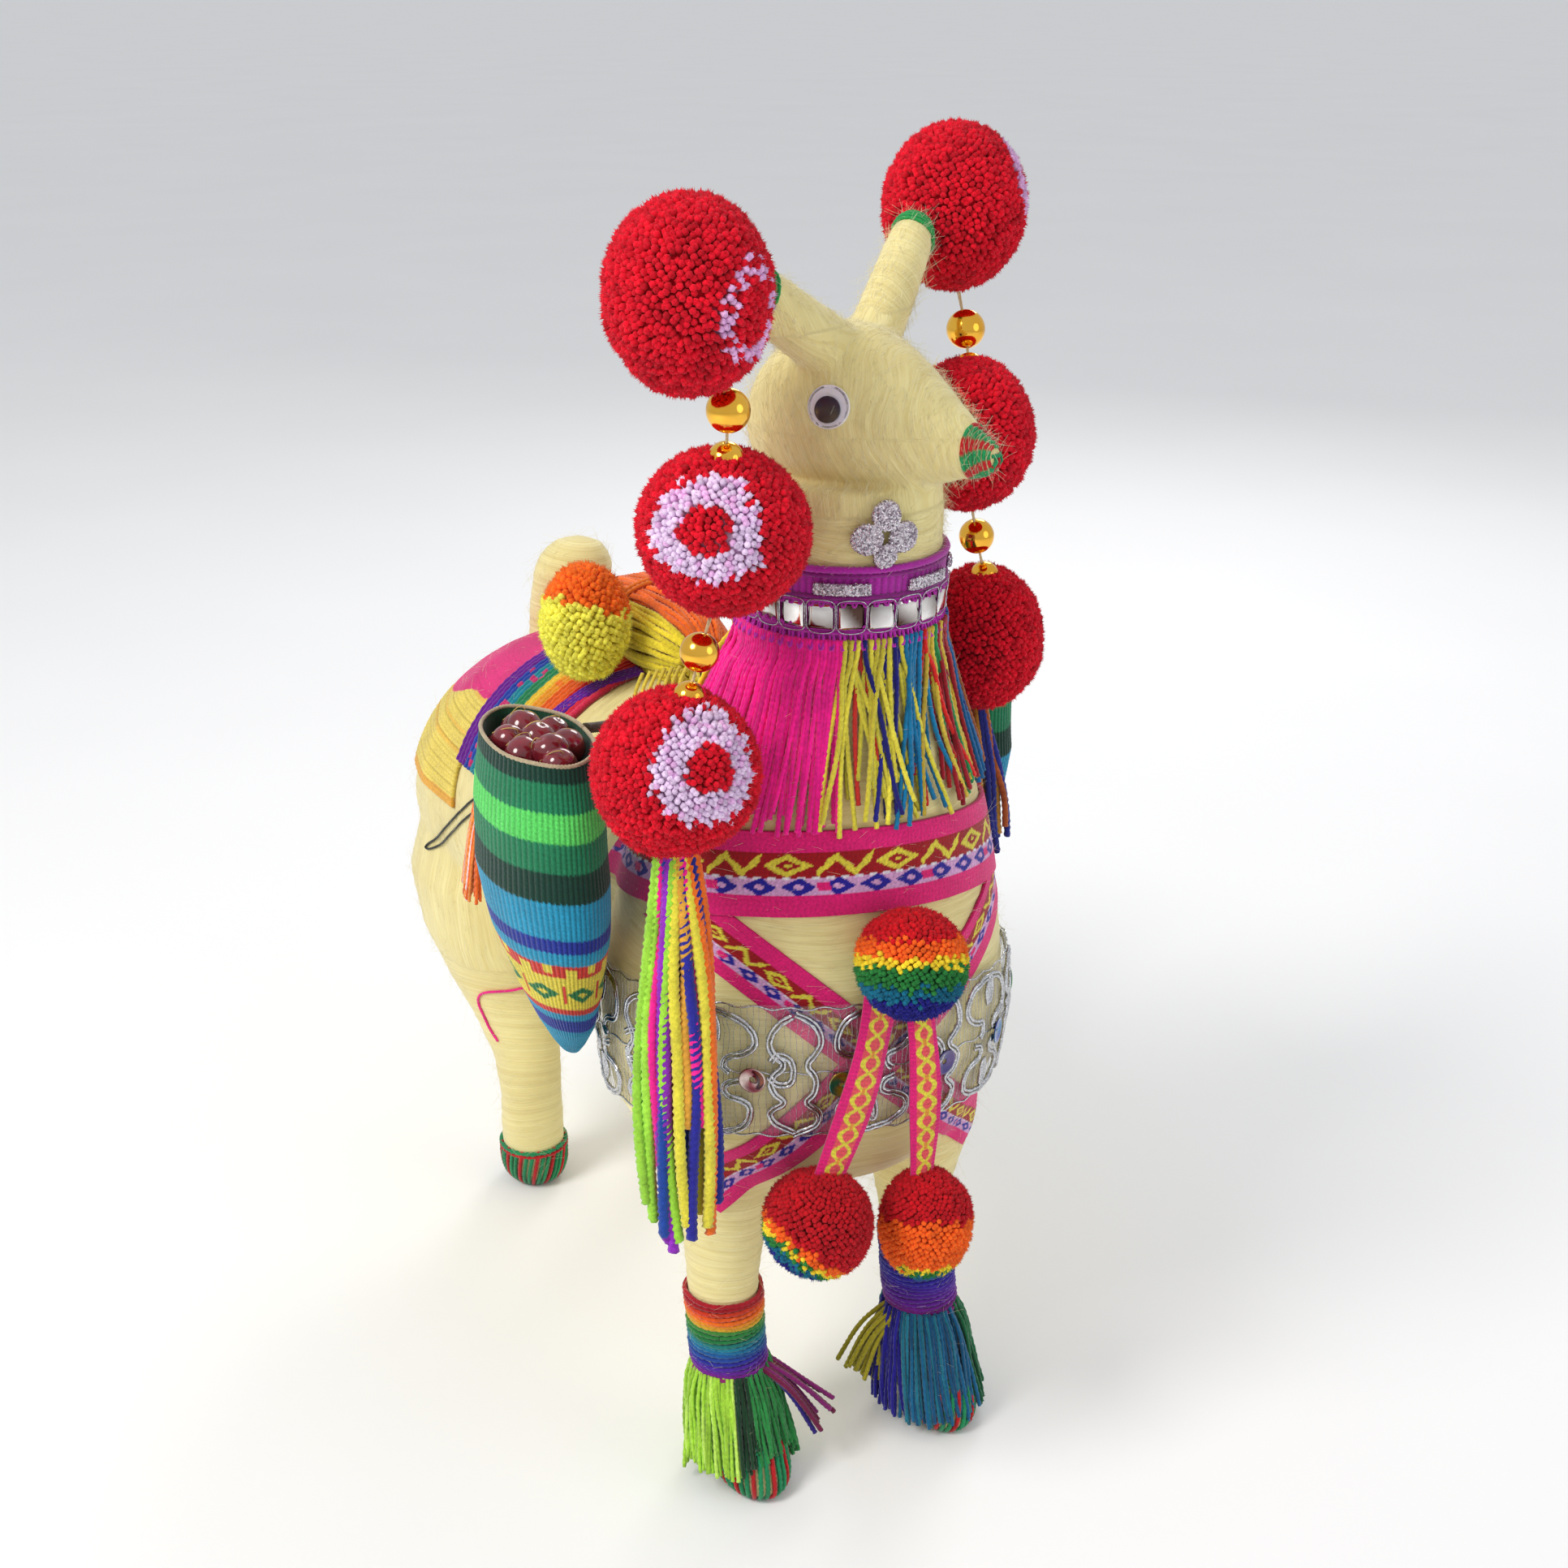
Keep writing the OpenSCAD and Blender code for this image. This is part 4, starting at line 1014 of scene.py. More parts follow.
for nm, pts, g, fl in (("cross_band_a", [(-72, 228), (-35, 194), (-3, 163), (28, 133), (62, 100)], 0.35, 1), ("cross_band_b", [(66, 216), (30, 190), (-9, 164), (-34, 134), (-64, 100)], 0.75, -1)):
    P, Nn = front_grid(pts, 17, g)
    keepz = lambda Q: (Q[..., 2] > 104) & (Q[..., 2] < 223)
    o = patch(nm, P, Nn, CLOTH, lambda S, V: 0.25 + 0.7 * weave(S, V) - 0.2, lambda S, V, fl=fl: motif(S + 6, V, 17.0, fl), replaces=["cross_band"] if nm.endswith("a") else [], fu=5, fv=5, thick=0.6, mask=keepz)
    declare_sheet(o)

# ---------------------------------------------------------------- silver lace
P, Nn = slab_grid(zlace, -212, 32, -23, 23, 2.0)
net = patch("lace_net", P, Nn, NET, lambda S, V: 0.15 + 0 * S, lambda S, V: np.ones(S.shape + (3,)), replaces=["silver_lace"], fu=1, fv=1, thick=0.1)
declare_sheet(net)


class Surf:
    """the lace's own surface: length along it and height give a point"""

    def __init__(s, P, Nn):
        s.P, s.N = smooth_grid(P, 2), smooth_grid(Nn, 2)
        d = np.linalg.norm(np.diff(s.P[:, s.P.shape[1] // 2], axis=0), axis=1)
        s.s = np.concatenate([[0], np.cumsum(d)])
        s.v = np.linspace(-23, 23, s.P.shape[1])

    def at(s, a, v, g):
        i = np.interp(a, s.s, np.arange(len(s.s)))
        j = np.interp(v, s.v, np.arange(len(s.v)))
        i0, j0 = min(int(i), len(s.s) - 2), min(int(j), len(s.v) - 2)
        fi, fj = i - i0, j - j0
        w = [((1 - fi) * (1 - fj), i0, j0), (fi * (1 - fj), i0 + 1, j0), ((1 - fi) * fj, i0, j0 + 1), (fi * fj, i0 + 1, j0 + 1)]
        p = sum(k * s.P[a_, b_] for k, a_, b_ in w)
        n = sum(k * s.N[a_, b_] for k, a_, b_ in w)
        return p + n / np.linalg.norm(n) * g


LS = Surf(P, Nn)
OMEGA = [(-6, 0), (-3.2, 1.5), (-4.5, 5), (-9.5, 5.5), (-13, 9), (-11.5, 15), (-4.5, 18.5), (4.5, 18.5), (11.5, 15), (13, 9), (9.5, 5.5), (4.5, 5), (3.2, 1.5), (6, 0)]
LOW = [(-7.5, -2.5), (-3, -3.5), (-3.2, -7.5), (-8.5, -8.5), (-12.5, -12), (-10.5, -17.5), (-3.5, -19.8), (3.5, -19.8), (10.5, -17.5), (12.5, -12), (8.5, -8.5), (3.2, -7.5), (3, -3.5), (7.5, -2.5)]
SIDE = [(-25, 19), (-18.5, 16), (-16, 10), (-19, 6.5), (-22, 3), (-17.5, -1), (-19, -6), (-22, -9), (-17.5, -12), (-18.5, -17), (-25, -20)]
CURL = [(17, 4), (20, 6.5), (24, 5.5), (25.5, 1), (23, -3), (19, -3.5), (17.5, -0.5)]
LEAF = [(0, 0), (-1.6, 4.5), (0, 9.5), (1.6, 4.5), (0.2, 0.2)]
PITCH = 50.0
ls_mid = float(np.interp(np.argmin(np.abs(np.linspace(-212, 32, LS.P.shape[0]) + 96)), np.arange(len(LS.s)), LS.s))
mb = MB()
for k in range(-4, 5):
    for ci, cur in enumerate((OMEGA, LOW, SIDE, [(-x, v) for x, v in SIDE], CURL, [(x, v + 9.5) for x, v in LEAF], [(x, -v - 8.5) for x, v in LEAF])):
        c2 = smooth_path([(x + ls_mid + k * PITCH + 0.8 * math.sin(k * 2 + v), v * (1 + 0.04 * math.sin(k + x)), 0) for x, v in cur], 3)
        c2 = resample(c2, 0.55)
        if c2[:, 0].min() < 2 or c2[:, 0].max() > LS.s[-1] - 2:
            continue
        tg = np.gradient(c2, axis=0)
        tg /= np.linalg.norm(tg, axis=1, keepdims=True) + 1e-9
        for off, ph in ((-0.62, 0.0), (0.62, 1.1)):
            pts = np.array([LS.at(a - t_[1] * off, (v + t_[0] * off) * 1.09, 0.9 + 0.10 * math.sin(a)) for (a, v, _), t_ in zip(c2, tg)])
            tube(mb, pts, 0.66, (1, 1, 1), 7, 2, 1.25, ph)
lace = mb.obj("silver_scroll_cord", SILVER)
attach(lace, "llama")
mb = MB()
g2 = np.random.default_rng(5)
for a in np.arange(3, LS.s[-1] - 3, 1.9):
    col = np.array((0.78, 0.76, 0.74)) * (0.6 + 0.5 * g2.random())
    j = g2.normal(size=4) * 0.6
    tube(mb, np.array([LS.at(a + j[int(i) % 4] * 0.5, v, 0.35 + 0.12 * math.sin(v)) for i, v in enumerate(np.linspace(-22.5, 22.5, 16))]), 0.1, col, 3)
for v in (-22.3, 22.3, 0.4):
    tube(mb, np.array([LS.at(a, v + 0.5 * math.sin(a * 0.6), 0.5) for a in np.arange(2, LS.s[-1] - 2, 0.9)]), 0.34, (0.8, 0.78, 0.77), 6, 2, 1.5)
o = mb.obj("lace_net_threads", SILVER)
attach(o, "llama")

# each sequin: its place and two colours; its face sweeps between them as a painted reflection over its own colour
SEQ = [((-58, -82, 165), (0.0, 0.22, 0.55), (0.0, 0.42, 0.30)), ((-40, -104, 163), (0.20, 0.004, 0.02), (0.62, 0.5, 0.45)), ((-17, -115, 160), (0.5, 0.3, 0.02), (0.0, 0.25, 0.2)), ((18, -115, 158), (0.03, 0.02, 0.16), (0.10, 0.06, 0.2)), ((43, -102, 156), (0.02, 0.06, 0.4), (0.05, 0.2, 0.4)), ((60, -78, 158), (0.02, 0.25, 0.05), (0.1, 0.4, 0.1))]
mb = MB()
for p, c0, c1 in SEQ:
    p = np.array(p, float)
    d = unit([p[0], p[1] + 60, 0])
    q, n = cast(BODY, np.array([0, -60, p[2]]) + d * 130, -d)
    if n @ d < 0:
        n = -n
    n = unit(n + d)
    e1 = unit(np.cross(n, [0, 0, 1.0]))
    e2 = np.cross(e1, n)
    q = q + n * 3.0
    rs = np.array([0.9, 1.1, 1.9, 2.9, 3.7, 4.15, 4.25])
    hs = np.array([0.1, 0.22, 0.25, 0.45, 0.75, 0.82, 0.72])
    th = np.arange(32) / 32 * 2 * math.pi
    V = q + hs[:, None, None] * n + rs[:, None, None] * (np.cos(th)[None, :, None] * e1 + np.sin(th)[None, :, None] * e2)
    Vb = V - n * 0.25
    Cc = np.zeros((len(rs), 32, 3))
    for i in range(len(rs)):
        # painted reflection: the colour sweeps twice round each ring between c0 and c1, turning a little from ring to
        # ring
        m = 0.5 + 0.5 * np.sin(th * 2 + i * 0.5)
        Cc[i] = np.array(c0) * (1 - m[:, None]) + np.array(c1) * m[:, None]
    i = np.arange(len(rs) - 1)[:, None] * 32
    j = np.arange(32)[None, :]
    Q = np.stack([i + j, i + 32 + j, i + 32 + (j + 1) % 32, i + (j + 1) % 32], -1).reshape(-1, 4)
    nv = len(rs) * 32
    last = (len(rs) - 1) * 32
    R1 = np.stack([last + j[0], last + nv + j[0], last + nv + (j[0] + 1) % 32, last + (j[0] + 1) % 32], -1)
    R0 = np.stack([j[0], (j[0] + 1) % 32, nv + (j[0] + 1) % 32, nv + j[0]], -1)
    mb.add(np.concatenate([V.reshape(-1, 3), Vb.reshape(-1, 3)]), np.concatenate([Q, Q[:, ::-1] + nv, R1, R0]), None, np.concatenate([Cc.reshape(-1, 3)] * 2))
o = mb.obj("sequin_discs", SEQUIN)
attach(o, "llama")
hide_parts("lace_sequins")

# ---------------------------------------------------------------- collar
VIO, VIOD = (0.50, 0.02, 0.40), (0.28, 0.012, 0.22)
A = np.linspace(-270, 90, 121)


def neck_at(a, z, g):
    return around(HEAD, 0, -83.5 - (z - 298) * 0.02, z, a, g, 70)


P = np.zeros((121, 13, 3))
Nn = np.zeros_like(P)
for i, a in enumerate(A):
    for j, z in enumerate(np.linspace(297.6, 321, 13)):
        P[i, j], Nn[i, j] = neck_at(a, z, 0.9)


def braid_h(S, V):
    return 0.35 + 0.30 * np.abs(np.sin(S * math.pi / 2.1)) * (0.6 + 0.4 * np.sin(V * math.pi / 2.9) ** 2)


def braid_c(S, V):
    # painted shade: the braid goes to the dark violet VIOD in the grooves between its ridges and to VIO on their
    # crests, in step with braid_h
    m = np.abs(np.sin(S * math.pi / 2.1))
    return mixc(VIOD, VIO, m * 0.9)


braid = patch("collar_braid_cloth", P, Nn, BRAID, braid_h, braid_c, replaces=["collar_braid"], fu=4, fv=3, thick=0.8)
declare_sheet(braid)
mb = MB()
for z, r, g, c in ((320.4, 1.15, 1.3, VIO), (318.6, 0.7, 1.3, VIOD), (312.3, 0.8, 1.5, VIOD), (311.0, 0.62, 1.8, VIO), (302.7, 0.62, 1.8, VIO), (301.6, 0.8, 1.6, VIO)):
    yarn(mb, [neck_at(a, z, g)[0] for a in np.linspace(-269, 89.5, 150)], r, c, 0.8, 3.0, 7, 0.05)
n_loop = 62
for k in range(n_loop):
    a = -270 + k * 360 / n_loop
    da = 1.25
    path = [neck_at(a - da, 301.4, 1.5)[0], neck_at(a - da * 1.1, 299.4, 2.0)[0], neck_at(a - da * 0.8, 297.3, 2.6)[0], neck_at(a, 296.3, 3.1)[0], neck_at(a + da * 0.8, 297.3, 2.8)[0], neck_at(a + da * 0.9, 299.6, 2.2)[0], neck_at(a + da * 0.4, 301.4, 1.6)[0]]
    tube(mb, resample(smooth_path(path, 2), 0.55), 0.52, np.array(VIO) * (0.9 + 0.3 * rng.random()) + np.array([0.06, 0, 0.06]), 6, 2, 1.5)
    path = [neck_at(a - da, 311.2, 1.6)[0], neck_at(a - da * 0.7, 309.9, 2.4)[0], neck_at(a, 309.5, 2.7)[0], neck_at(a + da * 0.7, 309.9, 2.4)[0], neck_at(a + da, 311.2, 1.6)[0]]
    tube(mb, resample(smooth_path(path, 1), 0.6), 0.4, VIO, 5)
    path = [neck_at(a - da, 302.2, 1.6)[0], neck_at(a - da * 0.7, 303.6, 2.4)[0], neck_at(a, 304.0, 2.7)[0], neck_at(a + da * 0.7, 303.6, 2.4)[0], neck_at(a + da, 302.2, 1.6)[0]]
    tube(mb, resample(smooth_path(path, 1), 0.6), 0.4, VIO, 5)
o = mb.obj("collar_picot_loops", BRAID)
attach(o, "llama")
# mirrored squares, each set at its own small angle
mb, mt = MB(), MB()
for k in range(22):
    a = k * 360 / 22
    t1, t2 = rng.normal() * 0.05, rng.normal() * 0.07
    cpt, n = neck_at(a, 306.6, 2.35)
    n = unit([math.cos(math.radians(a)), math.sin(math.radians(a)), 0.03])
    e1 = unit(np.cross([0, 0, 1.0], n))
    e2 = np.cross(n, e1)
    n = unit(n + e1 * t1 + e2 * t2)
    e1 = unit(np.cross(e2, n))
    e2 = np.cross(n, e1)
    m = 8
    u = np.linspace(-1, 1, m)
    UU, VV = np.meshgrid(u, u, indexing="ij")
    hgt = 0.30 - 0.16 * (UU ** 4 + VV ** 4) + 0.05 * np.sin(UU * 2.2 + k)
    V = cpt + e1 * (UU * 3.62)[..., None] + e2 * (VV * 3.7)[..., None] + n * hgt[..., None]
    id_ = np.arange(m * m).reshape(m, m)
    q = np.stack([id_[:-1, :-1], id_[1:, :-1], id_[1:, 1:], id_[:-1, 1:]], -1).reshape(-1, 4)
    V2 = np.concatenate([V.reshape(-1, 3), (V - n * 0.9).reshape(-1, 3)])
    bd = np.concatenate([id_[:, 0], id_[-1, 1:], id_[::-1, -1][1:], id_[0, ::-1][1:-1]])
    nb = np.roll(bd, -1)
    rim = np.stack([bd, bd + m * m, nb + m * m, nb], 1)
    # painted reflection: each square's colour runs from near-black to near-white across its face, at its own slope and
    # level, in place of the surroundings that the mirror reflects
    painted_reflection_ramp = np.clip((0.05, 0.8, 0.35, 0.95, 0.5)[k % 5] + 0.5 * (UU * math.cos(k * 1.9) + VV * math.sin(k * 1.9 + 0.6)) + 0.25 * math.sin(k * 2.7), 0, 1)[..., None]
    painted_reflection_colour = np.array((0.10, 0.055, 0.045)) * (1 - painted_reflection_ramp) + np.array((1.0, 0.99, 0.98)) * painted_reflection_ramp
    mb.add(V2, np.concatenate([q, q[:, ::-1] + m * m, rim]), None, np.tile(painted_reflection_colour.reshape(-1, 3), (2, 1)))
    am = a + 180 / 22
    for s in (-0.4, 0.4):
        tube(mt, [neck_at(am + s, z, 2.75)[0] for z in np.linspace(302.8, 310.4, 8)], 0.15, (1, 1, 1), 6, 2, 1.4)
    for zc, sg in ((303.1, -1), (310.3, 1)):
        sc = [neck_at(a - 7.6, zc - sg * 0.2, 2.6)[0], neck_at(a - 6.4, zc + sg * 1.3, 2.6)[0], neck_at(a, zc + sg * 1.7, 2.8)[0], neck_at(a + 6.4, zc + sg * 1.3, 2.6)[0], neck_at(a + 7.6, zc - sg * 0.2, 2.6)[0]]
        tube(mt, resample(smooth_path(sc, 2), 0.7), 0.17, (1, 1, 1), 5)
o = mb.obj("mirror_squares", FOIL)
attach(o, "llama")
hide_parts("collar_mirrors")
o = mt.obj("collar_silver_threads", SILVER)
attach(o, "llama")
glit = remeshed("glitter_bars", ["collar_glitter"], 0.00034, 2, GLIT)
v = verts(glit.data)
v = v + np.array([0, 0, 0.003]) * (v[:, 2:3] > 0.3172)
nn = normals(glit.data)
gq = np.random.default_rng(3)
glit.data.vertices.foreach_set("co", (v + nn * (0.00022 + gq.normal(size=(len(v), 1)) * 0.00016)).astype(np.float32).ravel())
glit.data.update()
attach(glit, "llama")
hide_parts("collar_glitter")

# ---------------------------------------------------------------- neck fringe
def fringe_colour(a, g):
    a = (a + 270) % 360 - 270
    if a < -206:
        return [YEL, (0.9, 0.6, 0.1), HOT, ORA][int(g.random() * 4)] if a > -236 else [HOT, ORA, GRN, SKY][int((a + 270) / 9) % 4]
    if a < -119:
        return HOT
    if a < -84:
        r = g.random()
        return (0.82, 0.72, 0.06) if r < 0.76 else (NAV if r < 0.85 else (0.65, 0.03, 0.02))
    if a < -69:
        return (0.005, 0.22, 0.46) if g.random() < 0.85 else (0.02, 0.3, 0.1)
    if a < -64:
        return (0.75, 0.015, 0.01)
    if a < -54:
        return (0.02, 0.26, 0.07) if g.random() < 0.8 else (0.7, 0.5, 0.05)
    if a < -36:
        return [(0.35, 0.01, 0.02), (0.7, 0.5, 0.05), (0.5, 0.02, 0.02)][int(g.random() * 3)]
    if a < 0:
        return [NAV, (0.01, 0.15, 0.4), (0.4, 0.1, 0.02)][int(g.random() * 3)]
    return [HOT, (0.7, 0.5, 0.05), GRN, SKY][int(a / 14) % 4]


g3 = np.random.default_rng(17)
frs = []
a = -270.0
while a < 90:
    pinkz = -205 < a < -119
    frs.append((a, 0))
    a += 2.0 if pinkz else 3.0
a = -268.6
while a < 90:
    pinkz = -205 < a < -119
    frs.append((a, 1))
    a += 2.1 if pinkz else 3.6
a = -267.4
while a < 90:
    frs.append((a, 2))
    a += 1.9 if -205 < a < -119 else 2.8
mb = MB()
for a, layer in frs:
    col = np.array(fringe_colour(a, g3))
    pinkz = np.allclose(col, HOT)
    drift = g3.normal() * (3.4 if pinkz else 13.0) + (0 if pinkz else 5)
    z1 = 240.5 + abs(g3.normal()) * (2.6 if pinkz else 5.0) + (0 if layer else 1.5)
    if layer == 2:
        # the undercoat: shorter yarns that close the gaps near the collar
        z1 += 6 + 16 * g3.random()
    zs = np.linspace(299.3, z1, 22)
    k = (299.3 - zs) / (299.3 - z1)
    wob = np.sin(k * (3 + 3 * g3.random()) + g3.random() * 6.28) * (0.6 if pinkz else 3.0) * g3.random()
    lift = 0.9 + (0.0 if layer == 2 else 0.55 + layer) * (0.85 if pinkz else 1.1) + (0.5 if pinkz else 2.2) * g3.random() * k
    pts = []
    for zz, kk, wo, li in zip(zs, k, wob, lift):
        tree, cx, cy = (HEAD, 0, -83.5) if zz > 291 else (BODY, 0, -76 - (zz - 243) * 0.12)
        if zz > 291:
            pts.append(around(HEAD, cx, cy, zz, a + drift * kk * 0.2, li, 70)[0])
        else:
            p = around(SKIN, cx, cy, zz, a + (drift * kk + wo) * 0.9, li, 88)[0]
            pts.append(p)
    pts = np.array(pts)
    for _ in range(2):
        pts[1:-1] = (pts[:-2] + 2 * pts[1:-1] + pts[2:]) / 4
    # painted shade: the undercoat's yarns (layer 2) are darkened to 0.8 under the outer layers
    yarn(mb, pts, 0.9 if pinkz else 0.86, col * (0.8 if layer == 2 else 1.0), 1.05, 3.6, 6, 0.22)
o = mb.obj("fringe_strands", YARN)
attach(o, "llama")
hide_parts("neck_fringe")

# ---------------------------------------------------------------- straps
def chain_c(w):
    def f(S, V):
        x = V - w / 2
        C = np.broadcast_to(np.array(PINKB), S.shape + (3,)).copy()
        m = np.mod(S, 12.0)
        hw = w * 0.23
        y1 = hw * np.sin(m / 12 * 2 * math.pi)
        on = (np.abs(x - y1) < 0.85) | (np.abs(x + y1) < 0.85)
        C[(np.abs(x) < hw + 0.9)] = (0.92, 0.10, 0.12)
        C[on] = YELB
        C[(np.abs(x) < 0.6) & (np.abs(m - 6) < 1.2)] = (0.9, 0.35, 0.05)
        # painted shade: darker (0.8) between the strap's woven rows, in step with its ridges
        return C * (0.8 + 0.2 * np.abs(np.sin(S * math.pi / 1.4)))[..., None]
    return f


for side, a0, b0, w, pr in (("right", (-6.9, -123.5, 189.5), (-30, -126, 118), 12.5, 15.5), ("left", (5.4, -123.5, 189.5), (8, -127.5, 107), 10.0, 17)):
    a0, b0 = np.array(a0), np.array(b0)
    d = unit(b0 - a0)
    e = b0 - d * (pr - 3.5)
    k = np.linspace(0, 1, 40)[:, None]
    C = a0 * (1 - k) + e * k + np.array([0, -1.0, 0]) * (np.sin(k * math.pi) * 2.0) + unit(np.cross(d, [0, 1, 0])) * np.sin(k * math.pi * 1.3) * 0.8
    x = unit(np.cross([0, 1.0, 0], d))
    if x[0] < 0:
        x = -x
    ws = np.linspace(-1, 1, 9)
    P = np.zeros((40, 9, 3))
    Nn = np.zeros_like(P)
    for i in range(40):
        tw = 0.10 * math.sin(i * 0.12 + (0 if side == "right" else 2))
        for j, q in enumerate(ws):
            wid = w / 2 * (1 - 0.06 * math.sin(i * 0.22) - 0.18 * (i / 39) ** 4)
            P[i, j] = C[i] + x * q * wid + np.array([0, 1.0, 0]) * (0.9 * q * q + tw * q * wid)
            Nn[i, j] = unit(np.array([0, -1.0, 0]) + x * q * 0.25)
    o = patch(f"hanging_strap_cloth_{side}", P, Nn, CLOTH, lambda S, V: 0.35 + 0.22 * np.abs(np.sin(S * math.pi / 1.4)), chain_c(w), f"hanging_strap_{side}", [f"strap_{side}"], 4, 5, 0.55, 0)
    declare_sheet(o)

# ---------------------------------------------------------------- yarn tassels
CRX = np.array([0.887, -0.462, 0])
CFX = np.array([-0.462, -0.887, 0])     # towards the camera, level


def hang(mb, top, bot, col, r, bow=(0, 0, 0), amp=1.2, g=None, pitch=5.0):
    top, bot = np.array(top, float), np.array(bot, float)
    k = np.linspace(0, 1, 20)[:, None]
    P = top * (1 - k) + bot * k + np.array(bow) * np.sin(k * math.pi) ** 1.0
    P = wiggle(P, amp, 3)
    yarn(mb, P, r, col, 1.1, pitch, 7, 0.16)


mb = MB()
T0 = np.array([-68.5, -111.3, 249.0])
front = [  # side offset, height of the end, colour, bow
    (-10.5, 129, LIM, -3.0), (-8.6, 124, LIM, -2.0), (-6.6, 121.5, (0.01, 0.07, 0.42), 0.5), (-5.2, 117.5, (0.28, 0.02, 0.48), -1.0), (-3.0, 113.5, (0.28, 0.02, 0.48), -2.6),
    (-1.0, 119, LIM, -4.2), (1.0, 125, (0.75, 0.66, 0.05), -1.5), (2.8, 121, (0.02, 0.02, 0.34), 1.5), (4.4, 124, (0.72, 0.62, 0.05), 2.4), (6.0, 121, (0.86, 0.16, 0.012), 3.4), (8.0, 130, (0.01, 0.02, 0.30), 2.6), (10.4, 133, (0.9, 0.16, 0.012), 3.2),
    (-7.6, 150, HOT, -1.0), (1.8, 158, (0.93, 0.45, 0.05), 0.8), (3.6, 160, HOT, 0.5)]
for sx, z1, c, bow in front:
    top = T0 + CRX * sx * 0.42 + CFX * (3.2 - 0.02 * sx * sx)
    bot = np.array([-68.2, -112.5, z1]) + CRX * (sx * 0.98 + (2.0 if sx > 3 else -0.5)) + CFX * (6.0 - 0.05 * sx * sx)
    hang(mb, top, bot, c, 1.95, CRX * bow + CFX * 1.0, 0.9)
gq = np.random.default_rng(4)
pal = [LIM, (0.28, 0.02, 0.48), (0.75, 0.66, 0.05), (0.02, 0.02, 0.34), (0.86, 0.16, 0.012), HOT, (0.01, 0.07, 0.42)]
for k in range(14):
    f = gq.random() * 6.283
    rr = 8.6 * math.sqrt(gq.random())
    o2 = np.array([math.cos(f), math.sin(f), 0])
    if o2 @ CFX > 0.45:
        o2 = o2 - CFX * 1.2
        o2 /= np.linalg.norm(o2)
    hang(mb, T0 + o2 * rr * 0.4, np.array([-68.2, -112, 124 + 16 * gq.random()]) + o2 * rr, pal[k % 7], 1.45, o2 * 1.5, 1.0)
o = mb.obj("drop_tassel_yarn_right", YARN)
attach(o, "lower_drop_right")
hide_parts("drop_tassel_right")
mb = MB()
for k in range(12):
    f = k / 12 * 6.283
    o2 = np.array([math.cos(f), math.sin(f), 0])
    c = [(0.02, 0.03, 0.26), (0.02, 0.03, 0.26), (0.45, 0.10, 0.02), (0.65, 0.3, 0.04)][k % 4]
    hang(mb, np.array([61, -66.3, 255]) + o2 * 1.6, np.array([66, -70, 203 + 8 * gq.random()]) + o2 * 3.4, c, 1.2, o2 * 0.8, 0.5)
o = mb.obj("drop_tassel_yarn_left", YARN)
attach(o, "lower_drop_left")
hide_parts("drop_tassel_left")

# ---------------------------------------------------------------- ankles and hooves
FR = [[0.5, -38, -97, 8.5, 12.5], [1.5, -38, -97, 8.5, 12.5], [4, -38, -96.5, 10.8, 14.8], [9, -38.5, -94.5, 11.8, 15], [16, -39, -91.5, 12, 14], [26, -40, -87, 11.8, 12.2], [46, -40, -81, 11.5, 11.5], [70, -40, -78, 12, 12]]


def leg_c(side, z, rear=False):
    if rear:
        return (-36.0 if side < 0 else 36.0), 114.0
    z_ = np.array([r[0] for r in FR])
    cx = np.interp(z, z_, [r[1] for r in FR])
    cy = np.interp(z, z_, [r[2] for r in FR])
    return (cx, cy) if side < 0 else (-cx - 4.6, cy)


def leg_at(side, z, a, g, rear=False):
    cx, cy = leg_c(side, z, rear)
    return around(BODY, cx, cy, z, a, g, 27)[0]


def grad(stops, t):
    xs = [s[0] for s in stops]
    return np.array([np.interp(t, xs, [s[1][i] for s in stops]) for i in range(3)])


CUFF_R = [(0.0, (0.28, 0.015, 0.15)), (0.07, (0.16, 0.01, 0.30)), (0.20, (0.025, 0.02, 0.34)), (0.32, (0.01, 0.12, 0.36)), (0.42, (0.01, 0.22, 0.30)), (0.52, (0.015, 0.20, 0.05)), (0.62, (0.03, 0.25, 0.04)), (0.68, (0.80, 0.42, 0.02)), (0.78, (0.88, 0.16, 0.01)), (0.87, (0.75, 0.05, 0.01)), (0.93, (0.42, 0.004, 0.012)), (1.0, (0.45, 0.006, 0.02))]
CUFF_L = [(0.0, (0.20, 0.01, 0.16)), (0.15, (0.13, 0.01, 0.30)), (0.45, (0.03, 0.015, 0.34)), (0.8, (0.02, 0.03, 0.32)), (1.0, (0.02, 0.10, 0.30))]
for side, nm, stops in ((-1, "right", CUFF_R), (1, "left", CUFF_L)):
    mb = MB()
    zs = np.arange(40.6, 68.0, 1.42)
    for i, z in enumerate(zs):
        t = (z - 40.6) / (68 - 40.6)
        a0 = rng.random() * 360
        pts = np.array([leg_at(side, z + 0.35 * math.sin(a_ * 0.035 + i), a_, 1.05 + 0.12 * math.sin(a_ * 0.09 + i * 2)) for a_ in np.linspace(a0, a0 + 359, 64)])
        yarn(mb, pts, 0.92, grad(stops, t), 0.85, 2.6, 7, 0.08)
    o = mb.obj(f"ankle_cuff_yarn_{nm}", YARN)
    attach(o, "llama")
    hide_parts(f"ankle_cuff_{nm}")

TC = [[41, -83, 12.6], [37, -84, 14.6], [32, -85, 15.8], [25, -86.5, 16.6], [15, -88.5, 18.0], [7, -91.0, 19.0]]


def tassel_at(side, z, a, dr):
    z_ = [r[0] for r in TC][::-1]
    cy = np.interp(z, z_, [r[1] for r in TC][::-1])
    r = np.interp(z, z_, [r[2] for r in TC][::-1]) + dr
    cx = -40 if side < 0 else 34.5
    return np.array([cx + r * math.cos(math.radians(a)), cy + r * 1.04 * math.sin(math.radians(a)), z])


